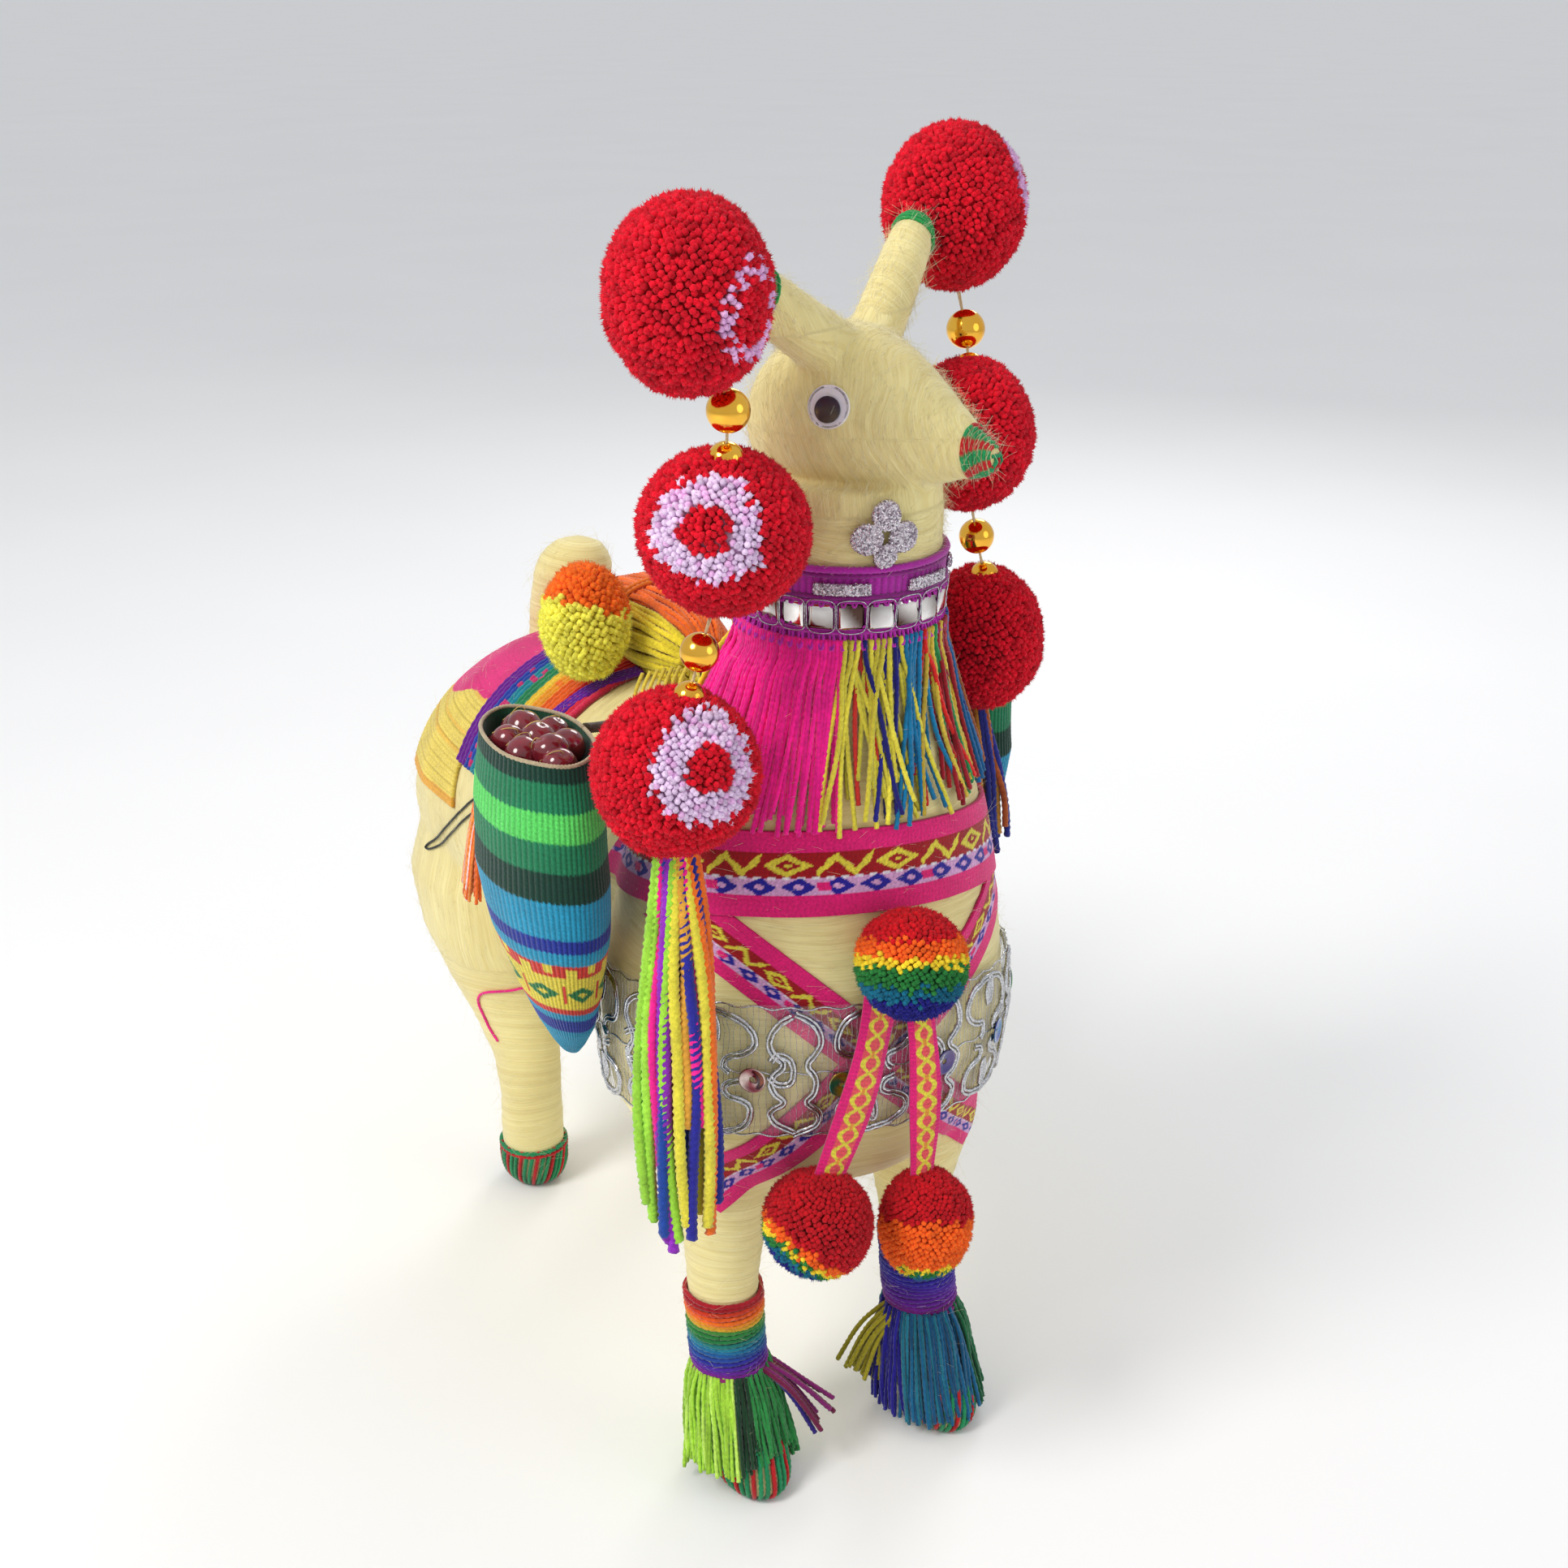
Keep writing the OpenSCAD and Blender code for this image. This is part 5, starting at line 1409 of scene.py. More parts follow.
LIME_Y, DKG, MGR, BURG = (0.40, 0.72, 0.05), (0.006, 0.045, 0.014), (0.02, 0.24, 0.05), (0.16, 0.006, 0.05)
for side, nm in ((-1, "right"), (1, "left")):
    mb = MB()
    gq = np.random.default_rng(40 + side)
    for layer, (n_, dr) in enumerate(((64, -2.6), (84, -1.0), (84, 0.2))):
        for k in range(n_):
            a_ = k / n_ * 360 + gq.normal() * 1.5
            sx = math.cos(math.radians(a_ + 27.5))
            facing = math.cos(math.radians(a_ + 117.5))
            if side < 0:
                col = LIME_Y if (sx < 0.12 or facing < -0.3) else (DKG if sx < 0.42 else MGR)
                if facing > 0 and sx < 0.1 and gq.random() < 0.12:
                    col = (0.55, 0.85, 0.12)
                zb = 10.5 if facing > 0.2 else 5.5
                zb += 5 * max(0, sx) if facing > 0 else 0
            else:
                col = [(0.004, 0.10, 0.24), (0.004, 0.13, 0.28), (0.01, 0.17, 0.26)][int(gq.random() * 3)]
                if sx < -0.55 and facing > -0.4:
                    col = (0.015, 0.01, 0.26)
                if sx > 0.9:
                    col = (0.01, 0.14, 0.05)
                zb = 4.2 if facing > 0.2 else 4.5
                zb += 2 * abs(math.sin(a_ * 0.12))
            zb += abs(gq.normal()) * 1.6
            zs = np.linspace(42.0, zb, 14)
            kk = (42 - zs) / (42 - zb)
            j1 = gq.normal() * 3.5
            pull = -7 * (sx if facing > 0 and side < 0 and sx < 0.1 else 0) * 1.4
            pts = np.array([tassel_at(side, z, a_ + (j1 + pull) * q, dr - 0.7 * (1 - q) + 0.7 * math.sin(q * 5 + j1)) for z, q in zip(zs, kk)])
            yarn(mb, pts, 0.76, col, 1.1, 3.4, 6, 0.22)
    # the strands that stand away from the leg
    if side < 0:
        for k in range(16):
            st = tassel_at(side, 41.5, -27.5 - 30 + k * 3.0, -2.0)
            en = st + CRX * (16 + 9 * gq.random()) + CFX * (3 - k * 0.5) + np.array([0, 0, -19 - 8 * gq.random()])
            mid = (st + en) / 2 + CRX * 1.6 + np.array([0, 0, 2.5 - 0.25 * k])
            yarn(mb, smooth_path([st, st * 0.72 + mid * 0.28 + CRX * 1.0, mid, en], 3), 0.95, [BURG, (0.03, 0.01, 0.24), (0.22, 0.01, 0.14), BURG][k % 4], 1.0, 3.6, 7, 0.2)
    else:
        for k in range(22):
            st = tassel_at(side, 41.0, -207.5 + 6 + k * 2.2, -2.2)
            q = gq.random()
            en = st - CRX * (6 + 13 * q) + CFX * (2 + 2 * gq.random()) + np.array([0, 0, -29 + 7 * q + 3 * gq.normal() * 0.4])
            mid = (st + en) / 2 - CRX * 2.0 + np.array([0, 0, 2.5])
            yarn(mb, smooth_path([st, st * 0.7 + mid * 0.3 - CRX * 0.6, mid, en], 3), 0.95, [(0.42, 0.36, 0.02), (0.012, 0.012, 0.2), (0.5, 0.42, 0.03)][(k // 3) % 3 if q < 0.6 else 0], 1.0, 3.6, 7, 0.2)
    o = mb.obj(f"ankle_tassel_yarn_{nm}", YARN)
    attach(o, "llama")
    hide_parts(f"ankle_tassel_{nm}")

HG, HR = (0.012, 0.27, 0.10), (0.52, 0.012, 0.015)
mb = MB()
for side in (-1, 1):
    for rear in (False, True):
        n_ = 40
        for k in range(n_):
            a_ = k / n_ * 360
            cx, cy = leg_c(side, 1.0, rear)
            pts = [np.array([cx, cy, 0.95]) + (leg_at(side, 3.0, a_, 0.0, rear) - np.array([cx, cy, 3.0])) * q + np.array([0, 0, 0.0]) for q in (0.25, 0.6, 0.86)]
            pts += [leg_at(side, z, a_ + (z - 2) * 0.8, g, rear) for z, g in ((2.2, 0.55), (4, 0.75), (6.5, 0.8), (9, 0.8), (11.3, 0.8), (14, 0.8), (17, 0.7), (19.5, 0.5))]
            pts = np.array(pts)
            pts[:, 2] = np.maximum(pts[:, 2], 0.95)
            pitch_r = 2 * math.pi * 13.5 / n_ / 2
            yarn(mb, smooth_path(pts, 2), pitch_r * 0.88, HR if k % 3 == 0 else HG, 0.9, 3.2, 7, 0.14)
        for z, c in ((19.0, HG), (17.4, HR if rear else HG)):
            yarn(mb, [leg_at(side, z, a_, 1.0, rear) for a_ in np.linspace(0, 356, 50)], 0.8, c, 0.9, 3, 6, 0.1)
o = mb.obj("hoof_yarn_wraps", YARN)
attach(o, "llama")
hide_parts("hoof_wraps")

# ---------------------------------------------------------------- nose wrap
def head_at(t, a, g):
    zc = np.interp(t, [14, 23, 32, 39, 44, 46.5], [359, 357, 354.6, 352.8, 351.6, 351])
    c0 = HC + HDIR * t + np.array([0, 0, zc])
    d = HLEFT * math.cos(a) + np.array([0, 0, 1.0]) * math.sin(a)
    p, n = cast(HEAD, c0 + d * 40, -d)
    return (p if p is not None else c0 + d * 3) + d * g


mb = MB()
for i, t in enumerate(np.arange(39.2, 46.6, 1.06)):
    aa = np.linspace(0, 2 * math.pi * 0.995, 48)
    pts = np.array([head_at(min(t + 0.25 * math.sin(a_ * 2), 46.2), a_, 0.0) for a_ in aa])
    if t > 45.8:
        pts = HC + HDIR * 46.4 + np.array([0, 0, 351.1]) + (pts - (HC + HDIR * t + np.array([0, 0, 351.0]))) * 0.8
        pts[:, 2] += 0
    ph = np.mod(np.degrees(aa) + i * 7, 72)
    cc = np.where((ph < 33)[:, None], np.array(HR)[None] * 1.1, np.array((0.012, 0.33, 0.10))[None])
    tube(mb, pts, 0.66, cc, 7, 2, 2.6, i)
cn = HC + HDIR * 46.6 + np.array([0, 0, 351.0])
for k, (dx, dz, c) in enumerate(((-1.5, 0, HG), (0, 0, HR), (1.5, 0, HG), (0, 1.5, HG), (0, -1.5, HR))):
    a0 = cn + HLEFT * dx + np.array([0, 0, dz])
    d0 = HLEFT * 0.3 + np.array([0, 0, 1.0]) if k < 3 else HLEFT
    yarn(mb, [a0 - unit(d0) * 2.4 - HDIR * 0.5, a0 + HDIR * 0.5, a0 + unit(d0) * 2.0 - HDIR * 0.5], 0.62, c, 0.5, 2.4, 7)
o = mb.obj("nose_yarn_wrap", YARN)
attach(o, "llama")
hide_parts("nose_wrap")

# ---------------------------------------------------------------- eyes: the CAD parts with their own finish
def keep(node, mat, deg=30):
    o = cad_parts[node]
    o.data.materials.clear()
    o.data.materials.append(mat)
    o.data.polygons.foreach_set("use_smooth", np.ones(len(o.data.polygons), bool))
    o.data.set_sharp_from_angle(angle=math.radians(deg)) if hasattr(o.data, "set_sharp_from_angle") else None


for s in ("right", "left"):
    keep(f"eye_cup_{s}", WHITE)
    keep(f"eye_dome_{s}", DOME, 40)
    keep(f"pupil_{s}", BLACK)

WIRE = metal_mat("steel_wire", (0.6, 0.6, 0.62), (0.3, 0.3, 0.32), 0.35, 400)
keep("wire_armature", WIRE)

# ear threads
mb = MB()
for side, a0, b0, c, at in (("right", (-9, -93, 378), (-47, -111, 402), (0.02, 0.28, 0.06), 0.80), ("left", (9.5, -82.5, 378), (38, -60, 409), (0.02, 0.34, 0.08), 0.82)):
    a0, b0 = np.array(a0, float), np.array(b0, float)
    ax = unit(b0 - a0)
    e1 = unit(np.cross(ax, [0, 0, 1.0]))
    e2 = np.cross(ax, e1)
    pts = []
    for k in range(110):
        f = k / 110 * 4.0 * 2 * math.pi
        c0 = a0 + (b0 - a0) * (at + 0.055 * (k / 110) * 2)
        d = e1 * math.cos(f) + e2 * math.sin(f)
        p, n = cast(HEAD, c0 + d * 14, -d)
        pts.append((p if p is not None else c0 + d * 4) + d * 0.45)
    yarn(mb, pts, 0.62, c, 0.7, 2.2, 6)
    # the thread's tail, tied off below the ear's tip
    s0 = pts[4]
    yarn(mb, smooth_path([s0, s0 + np.array([-1, -1.2, -3]), s0 + np.array([-2.4, -2.0, -6.5]), s0 + np.array([-2, -1.5, -10])], 2), 0.3, (0.5, 0.02, 0.02), 0.5, 1.5, 5)
o = mb.obj("ear_tie_threads", THREAD)
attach(o, "llama")
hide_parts("ear_threads")

# ---------------------------------------------------------------- saddle
def torso_tree():
    V, F = node_mesh(["torso_wrap"])
    return BVHTree.FromPolygons([tuple(U(v)) for v in V], F)


TORSO = torso_tree()


def dome_cast(tree, c0, d, g, far=120):
    d = unit(d)
    p, n = cast(tree, np.array(c0, float) + d * far, -d)
    if p is None:
        return None, d
    if n @ d < 0:
        n = -n
    n = unit(n + d)
    return p + n * g, n


def row_relief(pitch, r):
    def f(S, V):
        q = np.mod(V / pitch, 1.0)
        ply = 0.78 + 0.22 * np.abs(np.sin(math.pi * (S / (pitch * 1.25) + np.floor(V / pitch) * 0.37 + q * 0.5)))
        return r * np.sqrt(np.maximum(0.02, 1 - (2 * q - 1) ** 2)) * ply
    return f


BL = [(0.0, (0.80, 0.03, 0.10)), (3.5, (0.72, 0.012, 0.012)), (12, (0.90, 0.13, 0.012)), (20, (0.95, 0.36, 0.02)), (26, (0.95, 0.62, 0.05)), (30.5, (0.02, 0.24, 0.09)), (37, (0.01, 0.26, 0.34)), (43.5, (0.02, 0.06, 0.40)), (48.5, (0.16, 0.01, 0.30)), (58, (0.20, 0.01, 0.26))]


def blanket_c(S, V):
    row = np.floor(V / 2.7)
    C = np.zeros(S.shape + (3,))
    for lo, c in BL:
        C[V >= lo] = c
    r2 = np.modf(np.abs(np.sin(row * 12.9898 + np.floor(S / 2.3) * 78.233) * 43758.5453))[0]
    dots = (r2 > 0.86) & (V > 36) & (V < 47)
    C[dots] = (0.62, 0.03, 0.16)
    d2 = (r2 > 0.8) & (V > 20) & (V < 27)
    C[d2] = (0.9, 0.2, 0.02)
    # painted shade: each row darkens to 0.62 at its edges, in the grooves, and is full on its rounded crest; 0.1 * (r2
    # - 0.5) is a random change of tone
    q = np.mod(V / 2.7, 1.0)
    return C * (0.62 + 0.38 * np.sqrt(np.maximum(0, 1 - (2 * q - 1) ** 2)) + 0.1 * (r2 - 0.5))[..., None]


ys = np.linspace(42, 97.5, 26)
As = np.radians(np.linspace(19, 161, 70))
P = np.zeros((70, 26, 3))
Nn = np.zeros_like(P)
for i, a in enumerate(As):
    for j, y in enumerate(ys):
        P[i, j], Nn[i, j] = dome_cast(TORSO, (0, y, 178), (math.cos(a), 0, math.sin(a)), 1.25)
blanket = patch("saddle_blanket_cloth", P, Nn, CLOTH, row_relief(2.7, 1.45), blanket_c, replaces=["saddle_blanket"], fu=4, fv=6, thick=0.9, sm=1)
declare_sheet(blanket)

MAG, RYL, RYO = (0.82, 0.006, 0.20), (0.95, 0.74, 0.13), (0.93, 0.46, 0.04)


def rump_c(S, V, zz, yy):
    row = np.floor(V / 1.9)
    seam = 211 + (150 - yy) * 0.22 + 1.2 * np.sin(S * 0.23)
    C = np.broadcast_to(np.array(MAG), S.shape + (3,)).copy()
    r2 = np.modf(np.abs(np.sin(row * 12.9898) * 43758.5453))[0]
    ylw = zz < seam
    C[ylw] = RYL
    C[ylw & (r2 > 0.78)] = (0.95, 0.60, 0.08)
    C[zz < 185.5] = RYO
    # painted shade: each row darkens towards its edges, in the grooves (to 0.62 on the yellow rows, to 0.80 on the
    # magenta)
    q = np.mod(V / 1.9, 1.0)
    painted_row_shade = 0.62 + 0.38 * np.sqrt(np.maximum(0, 1 - (2 * q - 1) ** 2))
    painted_row_shade = np.where(ylw, painted_row_shade, 0.80 + 0.20 * painted_row_shade)
    return C * painted_row_shade[..., None]


az = np.radians(np.linspace(-16, 196, 92))
el = np.radians(np.linspace(8.5, 88, 30))
P = np.zeros((92, 30, 3))
Nn = np.zeros_like(P)
for i, a in enumerate(az):
    for j, e in enumerate(el):
        # rows start level on the flanks and close over the middle of the back
        y0 = 104
        d = (math.cos(e) * math.cos(a), math.cos(e) * math.sin(a), math.sin(e))
        p, n = dome_cast(TORSO, (0, y0, 171), d, 0.95)
        P[i, j], Nn[i, j] = p, n
PZ = upsample(smooth_grid(P, 1), 3, 5)
RH = row_relief(1.9, 0.95)
rump = patch("rump_cloth_layers", P, Nn, CLOTH, lambda S, V: np.where(PZ[..., 2] < 211 + (150 - PZ[..., 1]) * 0.22, RH(S, V), 0.35 + 0.30 * RH(S, V)), lambda S, V: rump_c(S, V, PZ[..., 2], PZ[..., 1]), replaces=["rump_cloth"], fu=3, fv=5, thick=0.8, sm=1, mask=lambda Q: (Q[..., 1] > 96.5))
declare_sheet(rump)

BUN = np.array([[24, 250, 9], [30, 251, 13], [42, 252, 15.5], [56, 253, 16.5], [70, 253, 16.5], [84, 252, 15.5], [96, 250, 13], [102, 249, 9]], float)
mb = MB()
gq = np.random.default_rng(9)
OB, YB = (0.96, 0.17, 0.015), (0.88, 0.72, 0.04)
for layer, n_ in ((0, 46), (1, 30)):
    for k in range(n_):
        f = k / n_ * 2 * math.pi + gq.normal() * 0.03
        y_ = np.linspace(22 + 3 * gq.random(), 103 - 3 * gq.random(), 34)
        zc, rr = np.interp(y_, BUN[:, 0], BUN[:, 1]), np.interp(y_, BUN[:, 0], BUN[:, 2]) - 1.1 - layer * 2.4
        rr = np.maximum(rr, 1.5) + 0.35 * np.sin(y_ * 0.15 + k)
        ff = f + 0.35 * np.sin((y_ - 60) * 0.02) + 0.03 * np.sin(y_ * 0.2 + k * 2)
        pts = np.stack([4 + 1.15 * rr * np.cos(ff), y_, zc + rr * np.sin(ff)], 1)
        sv = math.sin(f + 0.5)
        col = OB if sv > 0.42 else YB
        yarn(mb, pts, 1.28, col, 1.0, 4.4, 7, 0.2)
# the skein's tie and the violet yarn under it
for y0 in (62, 65):
    pts = [np.array([4 + 1.15 * 17.2 * math.cos(f), y0 + 0.6 * math.sin(3 * f), 253 + 17.2 * math.sin(f)]) for f in np.linspace(0.0, 6.2, 60)]
    yarn(mb, pts, 0.9, (0.85, 0.2, 0.02), 0.9, 3.5, 7)
for k in range(4):
    pts = [np.array([-12 - q * 1.0, 40 + 1.7 * k + q * 0.3, 0]) for q in np.linspace(0, 30, 24)]
    out = []
    for p in pts:
        h, n = cast(TORSO, (p[0], p[1], 300), (0, 0, -1))
        out.append(h + np.array([0, 0, 2.4]))
    yarn(mb, out, 1.05, (0.12, 0.01, 0.32), 1.0, 3.6, 7)
# loose loops of the same yellow yarn at the withers
for k in range(7):
    c0 = np.array([-16 + 2.2 * k, 16 - 1.4 * k, 0])
    lp = [(-4, 6, 11), (-9, 2, 8), (-12, -4, 4.5), (-9, -9, 3.0), (-3, -9, 3.2), (2, -4, 5.5), (4, 3, 9)]
    out = []
    for dx, dy, dz in lp:
        q = c0 + np.array([dx, dy, 0])
        h, n = cast(BODY, (q[0], q[1], 300), (0, 0, -1))
        out.append((h if h is not None else np.array([q[0], q[1], 240])) + np.array([0, 0, dz]))
    yarn(mb, smooth_path(out, 3), 0.8, (0.85, 0.66, 0.07), 0.9, 3.6, 6)
o = mb.obj("saddle_skein_yarn", YARN)
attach(o, "llama")
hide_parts("saddle_bundle")

for side, s_ in (("right", -1), ("left", 1)):
    mb = MB()
    gq = np.random.default_rng(60 + s_)
    lo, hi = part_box(f"blanket_tassel_{side}")
    lo, hi = U(lo), U(hi)
    for k in range(46):
        f = gq.random() * 6.283
        q = math.sqrt(gq.random())
        top = np.array([s_ * 64.0, 56, 213.5]) + np.array([math.cos(f), math.sin(f), 0]) * 2.2 * q
        end = np.array([s_ * (71.5 + 2.5 * math.cos(f)), 68.0 + 6.5 * q * math.sin(f), 156.5 + 7 * gq.random()])
        mid = top * 0.5 + end * 0.5 + np.array([s_ * 3.2, 0, 1.0])
        c = [(0.95, 0.16, 0.015), (0.95, 0.16, 0.015), (0.96, 0.30, 0.06), (0.88, 0.72, 0.74), (0.93, 0.55, 0.5), (0.012, 0.012, 0.012)][[0, 1, 2, 3, 4, 0, 1, 2, 5][k % 9]]
        yarn(mb, smooth_path([top, top * 0.75 + mid * 0.25 + np.array([s_ * 1.5, 0, 0]), mid, end], 3), 0.72, c, 1.0, 3.0, 6, 0.15)
    for z in (213.8, 211.6):
        yarn(mb, [np.array([s_ * (65.0 + (214.5 - z) * 0.4), 56.4, z]) + np.array([math.cos(f), math.sin(f), 0.1]) * 3.2 for f in np.linspace(0, 6.2, 24)], 0.7, (0.85, 0.75, 0.7), 0.8, 2.6, 6)
    o = mb.obj(f"blanket_tassel_yarn_{side}", YARN)
    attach(o, "llama")
    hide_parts(f"blanket_tassel_{side}")

# ---------------------------------------------------------------- bags and berries
BAG = np.array([[155, 0, .16], [159, 0, .28], [166, 0, .44], [180, 0, .66], [200, 0, .88], [221, 0, 1], [241, 0, .95], [263, 0, .85]])
LIMB, GB, BG, LB, NB, MY, MR, MG = (0.12, 0.78, 0.14), (0.012, 0.24, 0.10), (0.004, 0.05, 0.03), (0.012, 0.34, 0.56), (0.008, 0.03, 0.34), (0.88, 0.72, 0.06), (0.72, 0.03, 0.015), (0.01, 0.20, 0.05)


def bag_colour(z, rib, nrib):
    zz = z + 0.55 * np.abs(np.mod(rib, 1.0) - 0.5) * 2 + 0.35 * np.sin(rib * 0.35)
    zz = np.where(zz < 221, zz - 5.5, zz)
    C = np.zeros(zz.shape + (3,))
    for lo, c in ((-1e3, (0.01, 0.32, 0.52)), (163.0, NB), (168.5, LB), (171.5, MR), (174.0, MY), (176.5, MG), (184.0, MY), (187.5, MR), (192.6, LB), (197.5, NB), (202.5, LB), (221.0, BG), (230.5, GB), (240.0, LIMB), (249.0, GB), (257.8, BG)):
        C[zz >= lo] = c
    m = np.mod(rib, 10.0)
    fig = (zz > 176.5) & (zz < 184.0)
    d = np.abs(m - 5) / 4.2 + np.abs(zz - 180.3) / 3.4
    C[fig & (d > 1.0)] = MY
    C[fig & (d < 0.35)] = MY
    C[fig & (np.abs(m - 0.0) < 0.8)] = MR
    hi = (zz > 187.5) & (zz < 192.6)
    C[hi & (np.abs(m - 2.5) < 1.3) & (zz < 191.2)] = MY
    C[hi & (np.abs(m - 7.5) < 1.0) & (zz > 189.0)] = MY
    return C


def bag_mesh(name, cen, side, node, bodyname):
    nrib = 74
    sub = 6
    n = nrib * sub
    th = np.arange(n) / n * 2 * math.pi
    zs = np.linspace(262.6, 155.3, 190)
    lo, hi = U(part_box(node)[0]), U(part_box(node)[1])
    offs = BAG_OFF
    mb = MB()
    rows, cols, hts = [], [], []
    for z in zs:
        k = np.interp(z, BAG[:, 0], BAG[:, 2])
        dx = np.interp(z, BAG[:, 0], offs) * -side
        k = k * (1 + 0.012 * math.sin(z * 0.16))
        # soft folds that deepen towards the tip
        fold = 1 + 0.02 * np.sin(th * 3 + z * 0.05) * np.clip((230 - z) / 60, 0, 1)
        rib = th / (2 * math.pi) * nrib
        rel = 0.34 * np.abs(np.sin(math.pi * rib)) + 0.10 * np.abs(np.sin(math.pi * z / 1.5 + math.pi * 0.5 * np.mod(np.floor(rib), 2)))
        a, b = 18.5 * k * fold - 0.55 + rel, 34 * k * fold - 0.55 + rel
        rows.append(np.stack([cen[0] + dx + a * np.cos(th), cen[1] + b * np.sin(th), np.full(n, z)], 1))
        c = bag_colour(np.full(n, z), rib, nrib)
        # painted shade: the knit darkens to 0.66 in the grooves between the ribs that rel raises, with a small ripple
        # of tone along z
        c = c * (0.66 + 0.34 * np.abs(np.sin(math.pi * rib)) + 0.05 * np.sin(z * 4.2 + rib))[:, None]
        cols.append(c)
        hts.append(z)
    # over the rim and down the inside
    inner = [(262.9, 0.9), (262.6, 1.35), (260, 1.5), (255, 1.6), (249, 1.7), (244, 1.7), (242.35, 3.0)]
    top_rows, top_cols = [], []
    for z, inset in inner:
        k = np.interp(z, BAG[:, 0], BAG[:, 2])
        dx = np.interp(z, BAG[:, 0], offs) * -side
        rib = th / (2 * math.pi) * nrib
        a, b = 18.5 * k - inset, 34 * k - inset
        top_rows.append(np.stack([cen[0] + dx + a * np.cos(th), cen[1] + b * np.sin(th), np.full(n, z)], 1))
        c = np.array((0.45, 0.36, 0.22) if inset < 1.2 else (0.008, 0.07, 0.03))
        # painted shade: the inside also darkens to 0.7 between the ribs
        top_cols.append(np.tile(c, (n, 1)) * (0.7 + 0.3 * np.abs(np.sin(math.pi * rib)))[:, None])
    R = top_rows[::-1] + rows
    Cc = top_cols[::-1] + cols
    V = np.concatenate(R)
    m = len(R)
    i = np.arange(m - 1)[:, None] * n
    j = np.arange(n)[None, :]
    Q = np.stack([i + j, i + n + j, i + n + (j + 1) % n, i + (j + 1) % n], -1).reshape(-1, 4)
    z0 = 242.35
    k0 = np.interp(z0, BAG[:, 0], BAG[:, 2])
    ctop = [cen[0] - side * np.interp(z0, BAG[:, 0], offs), cen[1], z0]
    cbot = [cen[0] - side * offs[0], cen[1], 155.0]
    V = np.concatenate([V, [ctop], [cbot]])
    jj = np.arange(n)
    T = np.concatenate([np.stack([np.full(n, m * n), jj, (jj + 1) % n], 1), np.stack([np.full(n, m * n + 1), (m - 1) * n + (jj + 1) % n, (m - 1) * n + jj], 1)])
    mb.add(V, Q, T, np.concatenate(Cc + [np.array([[0.01, 0.05, 0.03], [0.01, 0.3, 0.5]])]))
    o = mb.obj(name, CLOTH)
    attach(o, bodyname)
    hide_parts(node)
    # overcast rim
    mr = MB()
    ang = np.linspace(0, 2 * math.pi, 260, endpoint=False)
    k = np.interp(262.6, BAG[:, 0], BAG[:, 2])
    path = np.stack([cen[0] - side * np.interp(262.6, BAG[:, 0], offs) + (18.5 * k - 0.9) * np.cos(ang), cen[1] + (34 * k - 0.9) * np.sin(ang), 262.9 + 0.25 * np.sin(ang * 5)], 1)
    tube(mr, path, 0.72, (0.50, 0.40, 0.25), 7, 2, 2.2)
    rim = mr.obj(name + "_rim", YARN)
    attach(rim, bodyname)
    return o


BAG_OFF = np.array([6, 5.6, 5, 3, 0.8, -0.6, -0.6, 0], float)
bag_mesh("bag_cloth_right", (-86, -50), -1, "bag_right", "saddle_bag_right")
bag_mesh("bag_cloth_left", (86, -6), 1, "bag_left", "saddle_bag_left")


def islands(node):
    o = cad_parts[node]
    me = o.data
    V = U(verts(me) @ np.array(o.matrix_world)[:3, :3].T + np.array(o.matrix_world)[:3, 3])
    par = np.arange(len(V))

    def root(i):
        while par[i] != i:
            par[i] = par[par[i]]
            i = par[i]
        return i
    for e in me.edges:
        a, b = root(e.vertices[0]), root(e.vertices[1])
        if a != b:
            par[a] = b
    lab = np.array([root(i) for i in range(len(V))])
    # points at one place belong together even where edges are not shared
    key = {}
    for i, p in enumerate(np.round(V, 3)):
        key.setdefault(tuple(p), []).append(i)
    for v in key.values():
        for w in v[1:]:
            a, b = root(v[0]), root(w)
            if a != b:
                par[a] = b
    lab = np.array([root(i) for i in range(len(V))])
    return [V[lab == q] for q in np.unique(lab)]


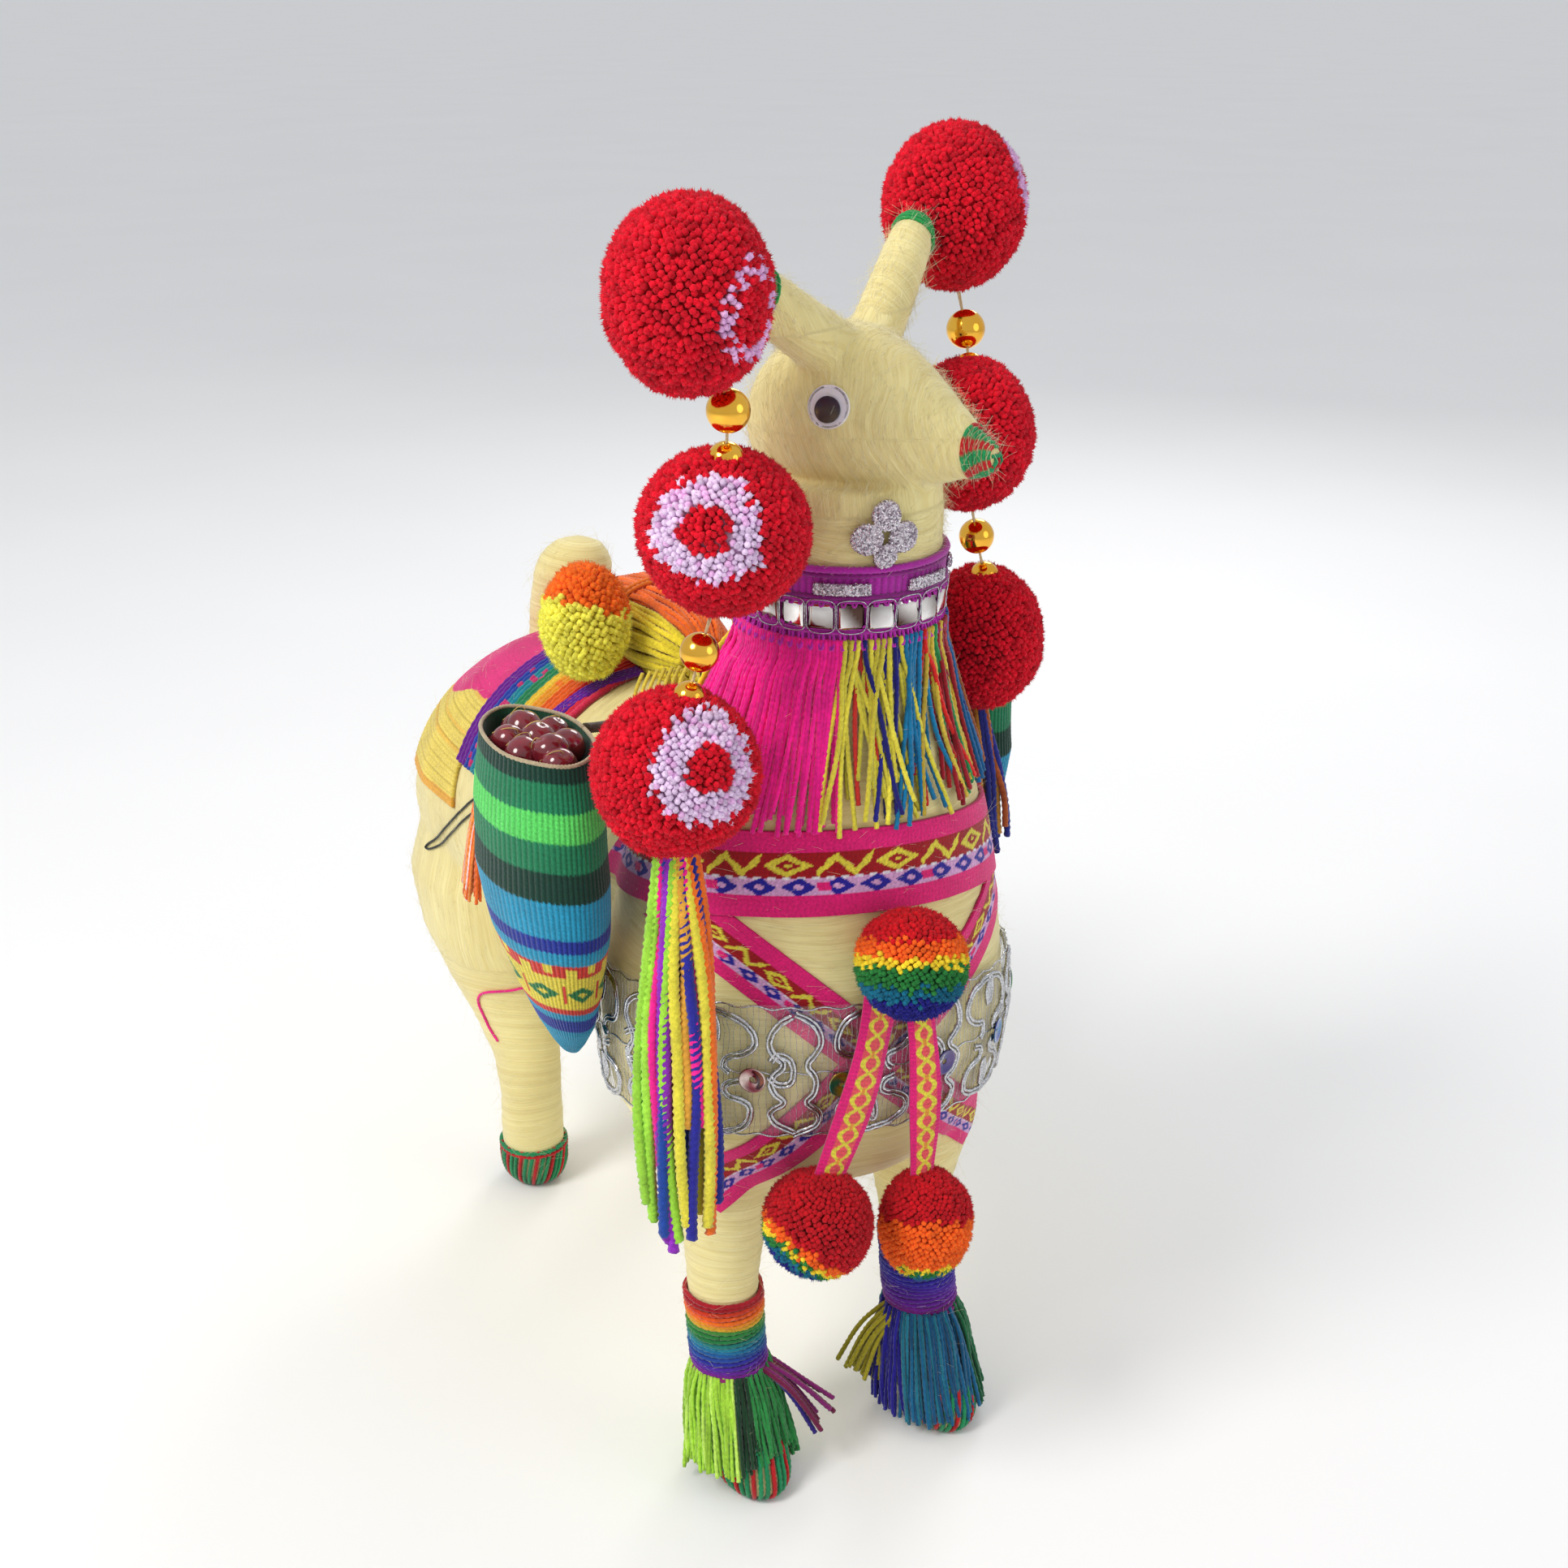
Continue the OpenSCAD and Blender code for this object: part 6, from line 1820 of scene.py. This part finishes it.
for side, s_ in (("right", -1), ("left", 1)):
    mb, mt = MB(), MB()
    gq = np.random.default_rng(80 + s_)
    balls = [((b.min(0) + b.max(0)) / 2, (b.max(0) - b.min(0)).max() / 2) for b in islands(f"berries_{side}")]
    low = min(c[2] for c, _ in balls)
    base = np.mean([c for c, _ in balls if c[2] < low + 1], axis=0)
    # the heap stands at the rim; six more fill the mouth between those of the upper layer
    balls = [(c + np.array([0, 0, 2.4]), r) for c, r in balls]
    for dx, dy in ((-7.0, -6.0), (7.0, -6.0), (-7.0, 6.0), (7.0, 6.0), (0, -17.0), (0, 17.0)):
        balls.append((base + np.array([dx, dy, 9.6 - 0.10 * abs(dy)]), 5.6))
    for c0, r in balls:
        ax = unit(gq.normal(size=3) * 0.6 + np.array([0, 0, 0.6]))
        e1 = unit(np.cross(ax, [0.3, 0.8, 0.1]))
        e2 = np.cross(ax, e1)
        nu, nv_ = 36, 22
        lat = np.linspace(0, math.pi, nv_ + 1)
        lon = np.arange(nu) / nu * 2 * math.pi
        L, O = np.meshgrid(lat, lon, indexing="ij")
        rad = r * (1 + 0.025 * np.sin(2 * O + 1) * np.sin(L) - 0.10 * np.exp(-(L / 0.22) ** 2) + 0.015 * np.sin(3 * L + O))
        V = c0 + rad[..., None] * (np.sin(L)[..., None] * (np.cos(O)[..., None] * e1 + np.sin(O)[..., None] * e2) + np.cos(L)[..., None] * ax * 1.04)
        V = V.reshape(-1, 3)
        i = np.arange(nv_)[:, None] * nu
        j = np.arange(nu)[None, :]
        Q = np.stack([i + j, i + nu + j, i + nu + (j + 1) % nu, i + (j + 1) % nu], -1).reshape(-1, 4)
        mb.add(V, Q)
        if c0[2] > 256:
            # a fine gilt thread ties each berry above z 256
            t0 = c0 + ax * r * 1.02
            yarn(mt, smooth_path([t0, t0 + ax * 1.6 + e1, t0 + e1 * r * 0.7 - ax * 0.5, c0 + e1 * r * 1.04], 3), 0.16, (0.65, 0.45, 0.12), 0.5, 1.0, 5)
    o = mb.obj(f"glossy_berries_{side}", BERRY)
    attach(o, f"saddle_bag_{side}")
    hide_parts(f"berries_{side}")
    o = mt.obj(f"berry_threads_{side}", THREAD)
    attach(o, f"saddle_bag_{side}")

# ---------------------------------------------------------------- cords
CORD = [[-70.4, -50, 262.5], [-62, -42, 259], [-50, -33, 255], [-36, -25, 251.5], [-20, -18, 249], [0, -13, 248], [18, -10, 248], [34, -8, 250], [48, -7, 253.5], [60, -6, 258], [70.4, -6, 262.5]]
cp = resample(smooth_path(CORD, 3), 0.8)
mb = MB()
tube(mb, cp, 1.75, (0.045, 0.035, 0.012), 9, 3, 4.6, 0, (1, 1))
cord = mb.obj("bag_cord_twisted", YARN)
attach(cord, "llama")
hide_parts("bag_cord")


def free_thread(name, pts, r, col, bodyname="llama", tree=None, lift=0.9):
    out = []
    for p in smooth_path(pts, 3):
        if tree is not None:
            q, n = near(tree, p)
            p = q + n * lift
        out.append(p)
    out = resample(np.array(out), 0.7)
    for _ in range(3):
        out[1:-1] = (out[:-2] + 2 * out[1:-1] + out[2:]) / 4
    mb = MB()
    tube(mb, out, r, col, 7, 2, 3.0)
    o = mb.obj(name, YARN)
    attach(o, bodyname)
    return o


def on_leg(side, z, a, g, rear=True):
    return leg_at(side, z, a, g, rear)


free_thread("loose_pink_thread", [on_leg(-1, 98, -90, 0.8), on_leg(-1, 97, -125, 0.8), on_leg(-1, 96, -160, 0.8), on_leg(-1, 91, -172, 0.8), on_leg(-1, 84, -168, 0.8), on_leg(-1, 77, -160, 0.9), on_leg(-1, 73, -150, 1.0)], 0.6, (0.9, 0.03, 0.28), tree=BODY, lift=0.55)


def flank(y, z, g=0.9):
    p, n = cast(BODY, (-140, y, z), (1, 0, 0))
    return p + n * (g if n[0] < 0 else -g)


free_thread("loose_black_thread", [flank(66, 199), flank(78, 192), flank(88, 184.5), flank(99, 175.6), flank(110, 167.2), flank(120, 160), flank(128, 154.6), flank(131, 151.6), flank(126, 152.8), flank(116, 159), flank(104, 167.4), flank(92, 176.6), flank(80, 185.4), flank(68, 193.6)], 0.5, (0.012, 0.016, 0.01), tree=BODY, lift=0.6)

# ---------------------------------------------------------------- floor
def floor():
    me = bpy.data.meshes.new("floor")
    me.from_pydata([(-60, -60, 0), (60, -60, 0), (60, 60, 0), (-60, 60, 0)], [], [(0, 1, 2, 3)])
    n = N("floor_paper", Roughness=0.9, Specular_IOR_Level=0.1)
    a = n.noise(3, 2)
    n.color(n.ramp(a.outputs["Fac"], [(0.3, (0.93, 0.93, 0.93)), (0.7, (0.95, 0.95, 0.95))]))
    me.materials.append(n.m)
    o = bpy.data.objects.new("floor", me)
    COL.objects.link(o)


floor()
